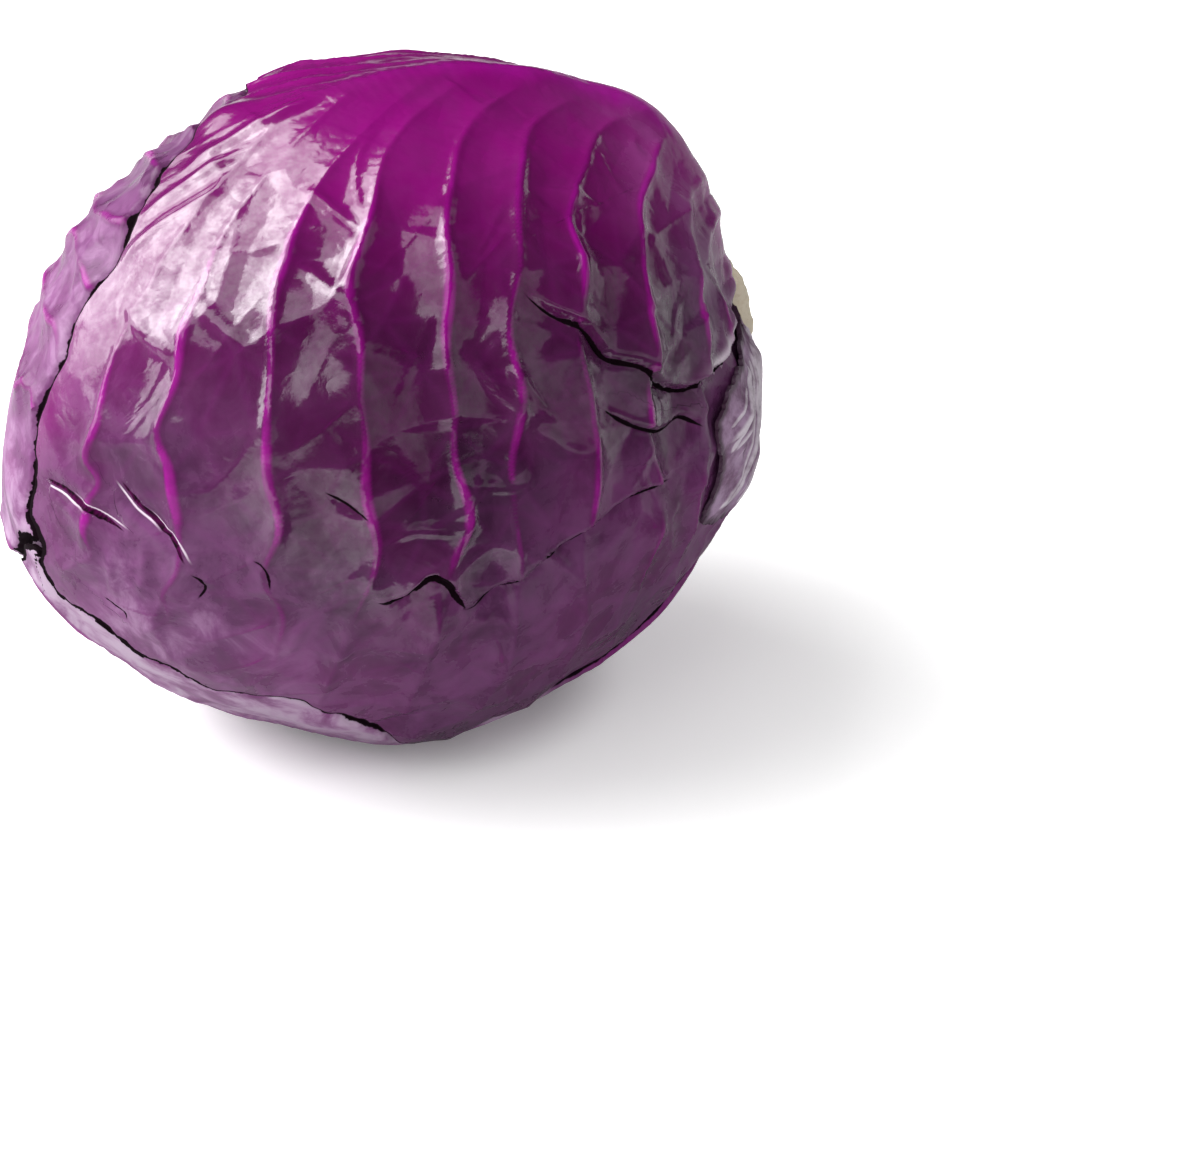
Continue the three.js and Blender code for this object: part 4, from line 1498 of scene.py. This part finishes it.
# %% [markdown]
# The ribs start together at the stem and fan out over the whole stalk base, thick and thin in turn, and
# each a little bent and of its own size, as torn ribs are. Even rays would look like a shell.

# %% Make the stalk bases
def stalk_ribs(name, plan, root, towards, spread, shift, size, seed):
    """Ribs that fan out from the stalk's root, at most spread degrees either side of one direction."""
    draw = np.random.default_rng(seed)
    start, end = plan.chart.flat(direction_at(*np.transpose([root, towards])))
    heading = math.atan2(*(end - start)[::-1])
    reach = np.linspace(2, STALK_REACH, 40)
    paths = []
    for order in range(-STALK_RIBS, STALK_RIBS + 1):
        share = (order + shift + draw.uniform(-0.25, 0.25)) / STALK_RIBS
        bend = 0.05 * np.sin(reach / 7 + draw.uniform(0, FULL_TURN))
        turn = heading + math.radians(spread) * share + bend
        flat = start + np.stack([np.cos(turn), np.sin(turn)], axis=-1) * reach[:, None]
        theta, phi = angles_of(plan.chart.directions(flat))
        paths.append((theta, phi, size * draw.uniform(0.25, 1.0) * np.ones(len(theta))))
    return rib_object(name, paths, above=STALK_TOP)


def make_stalk(plan, root, towards, spread, seed):
    """One stalk base: the leaf tree's midrib input takes its thick ribs, and the others its thin ones."""
    directions = leaf_net(plan, STALK_SIDE)
    inside = plan.inside(directions)
    theta, _ = angles_of(directions)
    radius = skin_radius(directions) + STALK_EDGE + (STALK_TOP - STALK_EDGE) * smooth_step(inside, 0, 6)
    whole = np.ones(len(radius))
    sheet = mesh_object(
        plan.node + "_sheet", (directions * radius[:, None] + CENTRE) * MM, net_faces(STALK_SIDE).tolist(),
        attributes={"rib": 0 * whole, "slack": 0.5 * whole, "crumple": 0.7 * whole, "exposed": whole})
    thick = stalk_ribs("thick_ribs", plan, root, towards, spread, 0.0, 1.0, seed)
    thin = stalk_ribs("thin_ribs", plan, root, towards, spread, 0.5, 0.8, seed + 1)
    dressed, rib, _ = dress(sheet, Midrib=thick, Side_ribs=thin, Branches=thin, Folding_ribs=FOLDING_RIBS,
                            Material=STALK_SKIN, **STALK_RELIEF)
    for helper in (sheet, thick, thin):
        bpy.data.objects.remove(helper)
    thinner = STALK_THINNER * (1 - smooth_step(inside, 0, 7)) * smooth_step(theta, 16, 34)
    # a darker torn edge for the material: partly dry skin, partly painted shade
    dry_and_shaded_edge = 1 - smooth_step(inside, 0.3, 1.6)
    piece = close_sheet(plan.node + "_torn", dressed, STALK_SIDE, STALK_THICKNESS - thinner,
                        {"rib": rib, "dry_and_shaded_edge": dry_and_shaded_edge})
    finish_piece(piece, STALK_SKIN, plan.node)


for order, stalk in enumerate(STALKS):
    make_stalk(*stalk, seed=50 + 10 * order)
bpy.data.objects.remove(FOLDING_RIBS)

# %% [markdown]
# ## The stem
#
# The stem was cut across with a knife just above the head. It is a knobbly stub, not a clean cylinder:
# the scars of lost leaves swell its side, and a ring of tough vessels stands out on the drying face. It
# is turned like a bowl, ring by ring, and each ring's radius is then varied round it.

# %% Make the stem
STEM_SIDES = 96
# radius and place along the axis, in mm
STEM_PROFILE = [(0.5, 54), (17.6, 55), (18.2, 60), (17.6, 66), (15.4, 71), (13.3, 75), (12.6, 78),
                (12.3, 81), (12.2, 84), (12.0, 86.6), (11.4, 87.6)]
FACE_AT = 87.7            # mm along the axis
VESSEL_RING = 8.4         # mm, radius of the ring of vessels on the cut face
VESSELS = 31
# share of the radius, number round the stem, and how slowly they twist along it
KNOBS = [(0.035, 3, 4), (0.03, 7, 2.5), (0.02, 13, -1.7), (0.015, 29, 1)]
DISH = 0.9                # mm that the face has shrunk in its middle
KNIFE_MARKS = 0.15        # mm high
RIND = 9.8, 11.6          # mm from the axis, where the face turns brown
STEM_CREASE_ANGLE = 55    # degrees between two faces, from which their edge is shaded sharp


def make_stem():
    """Turn the profile and the cut face round the stem's axis, and vary each ring's radius."""
    profile = smooth_curve(STEM_PROFILE, 46, closed=False)
    face = [(radius, FACE_AT) for radius in np.linspace(11.0, 0.4, 22)]
    rings = np.concatenate([profile, face])
    turn = np.linspace(0, 2 * np.pi, STEM_SIDES, endpoint=False)
    radius, along = rings[:, :1], rings[:, 1:]
    knobs = sum(size * np.sin(count * turn + along / twist) for size, count, twist in KNOBS)
    radius = radius * (1 + knobs * smooth_step(along, 62, 80))

    # the cut face: a ring of vessels, a shallow dish and the marks of the knife
    on_face = (np.arange(len(rings)) >= len(profile))[:, None]
    vessels = np.exp(-((radius - VESSEL_RING) / 0.7) ** 2) * (0.6 + 0.4 * np.sin(VESSELS * turn))
    dish = DISH * (1 - smooth_step(radius, 0, 10))
    scored = KNIFE_MARKS * np.sin(radius * np.cos(turn) * 3.1)
    along = along + on_face * (0.35 * vessels - dish + scored)
    offset = np.stack([along + 0 * turn, radius * np.cos(turn), radius * np.sin(turn)], axis=-1)
    points = (offset.reshape(-1, 3) + CENTRE) * MM

    index = np.arange(len(points)).reshape(len(rings), STEM_SIDES)
    ahead = np.roll(index, -1, axis=1)
    faces = np.stack([index[:-1], ahead[:-1], ahead[1:], index[1:]], axis=-1).reshape(-1, 4).tolist()
    faces += [index[0, ::-1].tolist(), index[-1].tolist()]
    neck = 1 - smooth_step(along, 77, 82)
    piece = mesh_object("stem_core_cut", points, faces, attributes={
        "vessels": np.clip(on_face * vessels, 0, 1).ravel(),
        "brown": (on_face * smooth_step(radius, *RIND) + (1 - on_face) * neck).ravel()})
    piece.data.set_sharp_from_angle(angle=math.radians(STEM_CREASE_ANGLE))
    finish_piece(piece, STEM_FLESH, "stem_core")


make_stem()

# %% [markdown]
# ## The inner leaves
#
# The inner leaves and the heart are closed up inside the head. Their plain shells in the frame have the
# right shape already, so they stay as they are and only get their material.

# %% Give the inner leaves their material
for name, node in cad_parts.items():
    if name.startswith("inner_leaf") or name == "heart":
        node.data.materials.clear()
        node.data.materials.append(INNER_LEAF)
        print(name, "is now", INNER_LEAF.name)

# %% [markdown]
# ## Table and cards
#
# The table is white to the camera and duller to everything else, and it glows a little for the camera,
# more so away from the head. That makes a clean white ground which still keeps the head's shadow.
# More light on a white table would do it too, but it would bleach the head.
#
# Glossy skin shows what is round it, and this skin looks right only among dark things, with a few bright
# ones. So the gloss isn't given the white ground to mirror, as metal or glass would be, and a dark card
# stands in front of the table.

# %% Table and dark card
TABLE_HALF = 3.0          # m
# the near glow is painted light that pales the outer part of the head's shadow on the table
NEAR_GLOW = 0.032, 0.052, 0.07, 0.32    # m from the head's middle where it grows, from and to what
FAR_GLOW = 0.32, 0.8, 0.0, 0.7          # the same, further out, so that the table has no horizon
CARD_LEFT, CARD_RIGHT, CARD_NEAR, CARD_FOOT, CARD_TOP = -0.055, 0.085, -0.125, 0.001, 0.085    # m


def make_floor():
    """A white table top, lit a little from within where only the camera looks."""
    half = TABLE_HALF
    floor = mesh_object("floor", [(-half, -half, 0), (half, -half, 0), (half, half, 0), (-half, half, 0)],
                        [(0, 1, 2, 3)])
    material, tree, shader, _ = new_material("matt_white_table", {
        "Roughness": 0.9, "Specular IOR Level": 0.0, "Emission Color": "#ffffff"})
    seen = add_node(tree, "ShaderNodeLightPath").outputs["Is Camera Ray"]
    white = add_node(tree, MIX, {0: seen, 6: "#c4c4c4", 7: "#ffffff"}, **COLOUR).outputs[2]
    tree.links.new(white, shader.inputs["Base Color"])
    where = add_node(tree, "ShaderNodeTexCoord").outputs["Object"]
    away = add_node(tree, VECTOR_MATH, [where], operation="LENGTH").outputs["Value"]
    near, far = (add_node(tree, RANGE, [away, *glow], **SMOOTH) for glow in (NEAR_GLOW, FAR_GLOW))
    glow = add_node(tree, MATH, [near, far], **PLUS)
    shown = add_node(tree, MATH, [seen, glow], **TIMES)
    tree.links.new(shown.outputs[0], shader.inputs["Emission Strength"])
    floor.data.materials.append(material)


def make_flag():
    """A dark card at the front right. The camera doesn't see it, and it casts no shadow."""
    flag = mesh_object("black_card", [
        (CARD_LEFT, CARD_NEAR, CARD_FOOT), (CARD_RIGHT, CARD_NEAR, CARD_FOOT),
        (CARD_RIGHT, CARD_NEAR, CARD_TOP), (CARD_LEFT, CARD_NEAR, CARD_TOP)], [(0, 1, 2, 3)])
    material = new_material("black_flock_paper", {
        "Base Color": "#1c0618", "Roughness": 1.0, "Specular IOR Level": 0.0})[0]
    flag.data.materials.append(material)
    flag.visible_camera = False
    flag.visible_diffuse = False
    flag.visible_shadow = False


make_floor()
make_flag()
print("the table is", 2 * TABLE_HALF, "m wide, and the card is", CARD_TOP, "m high")

# %% [markdown]
# ## Light
#
# Two big softboxes behind, on the crown's side, make the frosty shine there and throw the shadow to the
# front. Smaller ones and pale cards at grazing angles draw the soft veils on the panels between the
# ribs. One lamp lights matt colour only, as a polarised lamp does, because a shine from that side would
# hide the purple. The camera doesn't see a lamp, so none shows as a grey sheet in another view.

# %% Lamps
# name: azimuth and elevation in degrees, distance, width and height in m, radiance, seen in the shine
LAMPS = {
    "back left softbox": (-135, 42, 1.2, 1.5, 1.6, 3.6, True),
    "its bright middle": (-130, 46, 1.19, 0.8, 0.8, 3.6, True),
    "low back softbox": (-153, 11, 1.2, 0.8, 0.6, 0.65, True),
    "front left softbox": (-64, 56, 1.2, 1.1, 0.95, 1.4, True),
    "polarised fill": (-45, 5, 1.3, 1.5, 1.2, 1.8, False),
    "front card": (33, 14, 1.3, 2.3, 0.8, 0.32, True),
    "right card": (108, 3, 1.3, 1.5, 0.34, 0.55, True),
    "left card": (-110, 9, 1.3, 2.0, 0.45, 0.14, True),
}


def way_to(azimuth, elevation):
    """From the head towards a lamp or the camera. Azimuth 0 is in front, and -90 is at the crown's end."""
    a, e = math.radians(azimuth), math.radians(elevation)
    return Vector((math.sin(a) * math.cos(e), -math.cos(a) * math.cos(e), math.sin(e)))


def add_lamp(name, azimuth, elevation, distance, width, height, radiance, mirrored):
    """A rectangular lamp that faces the head."""
    lamp = bpy.data.lights.new(name, "AREA")
    lamp.shape = "RECTANGLE"
    lamp.size, lamp.size_y = width, height
    lamp.energy = radiance * math.pi * width * height
    holder = bpy.data.objects.new(name, lamp)
    way = way_to(azimuth, elevation)
    holder.location = Vector(CENTRE * MM) + way * distance
    holder.rotation_euler = way.to_track_quat("Z", "Y").to_euler()
    holder.visible_camera = False
    holder.visible_glossy = mirrored
    bpy.context.scene.collection.objects.link(holder)
    print(name, "gives", round(lamp.energy, 1), "W")


for name, settings in LAMPS.items():
    add_lamp(name, *settings)

# %% [markdown]
# The world is white for the camera, a plain fill for matt surfaces, and almost nothing for gloss to mirror.

# %% World
FILL, DIMMEST = 0.2, 0.008


def make_world():
    """White for the camera, a fill for matt colour, and next to nothing for gloss."""
    world = bpy.data.worlds.new("studio")
    bpy.context.scene.world = world
    world.use_nodes = True
    tree = world.node_tree
    path = add_node(tree, "ShaderNodeLightPath").outputs
    fill = add_node(tree, MATH, [path["Is Diffuse Ray"], FILL], **TIMES)
    plain = add_node(tree, MATH, [fill, DIMMEST], **PLUS)
    strength = add_node(tree, MATH, [path["Is Camera Ray"], plain], **LARGER)
    tree.links.new(strength.outputs[0], tree.nodes["Background"].inputs["Strength"])
    tree.nodes["Background"].inputs["Color"].default_value = linear("#ffffff")


make_world()
print("the fill is", FILL, "of white")

# %% [markdown]
# ## Camera
#
# The camera looks down at the head from the crown's side of its front. A long lens from further off keeps
# the head from bulging towards it.

# %% Camera
CAMERA_AZIMUTH = -28.0
CAMERA_ELEVATION = 25.0
CAMERA_DISTANCE = 0.70    # m
CAMERA_LENS = 100         # mm
AIM_RIGHT = 0.0429        # m, the head stands left of the picture's middle
AIM_DOWN = 0.0404         # m, and above it


def make_camera():
    """A camera on the head's front, aimed past it so that it stands left of the middle and above it."""
    back = way_to(CAMERA_AZIMUTH, CAMERA_ELEVATION)
    azimuth = math.radians(CAMERA_AZIMUTH)
    right = Vector((math.cos(azimuth), math.sin(azimuth), 0))
    up = back.cross(right)
    middle = Vector(CENTRE * MM)
    place = middle + back * CAMERA_DISTANCE
    aim = middle + right * AIM_RIGHT - up * AIM_DOWN
    data = bpy.data.cameras.new("camera")
    data.lens = CAMERA_LENS
    camera = bpy.data.objects.new("camera", data)
    camera.location = place
    camera.rotation_euler = (place - aim).to_track_quat("Z", "Y").to_euler()
    bpy.context.scene.collection.objects.link(camera)
    bpy.context.scene.camera = camera
    print("the camera stands at", [round(value, 3) for value in place])


make_camera()
bpy.context.scene.view_settings.view_transform = "Standard"
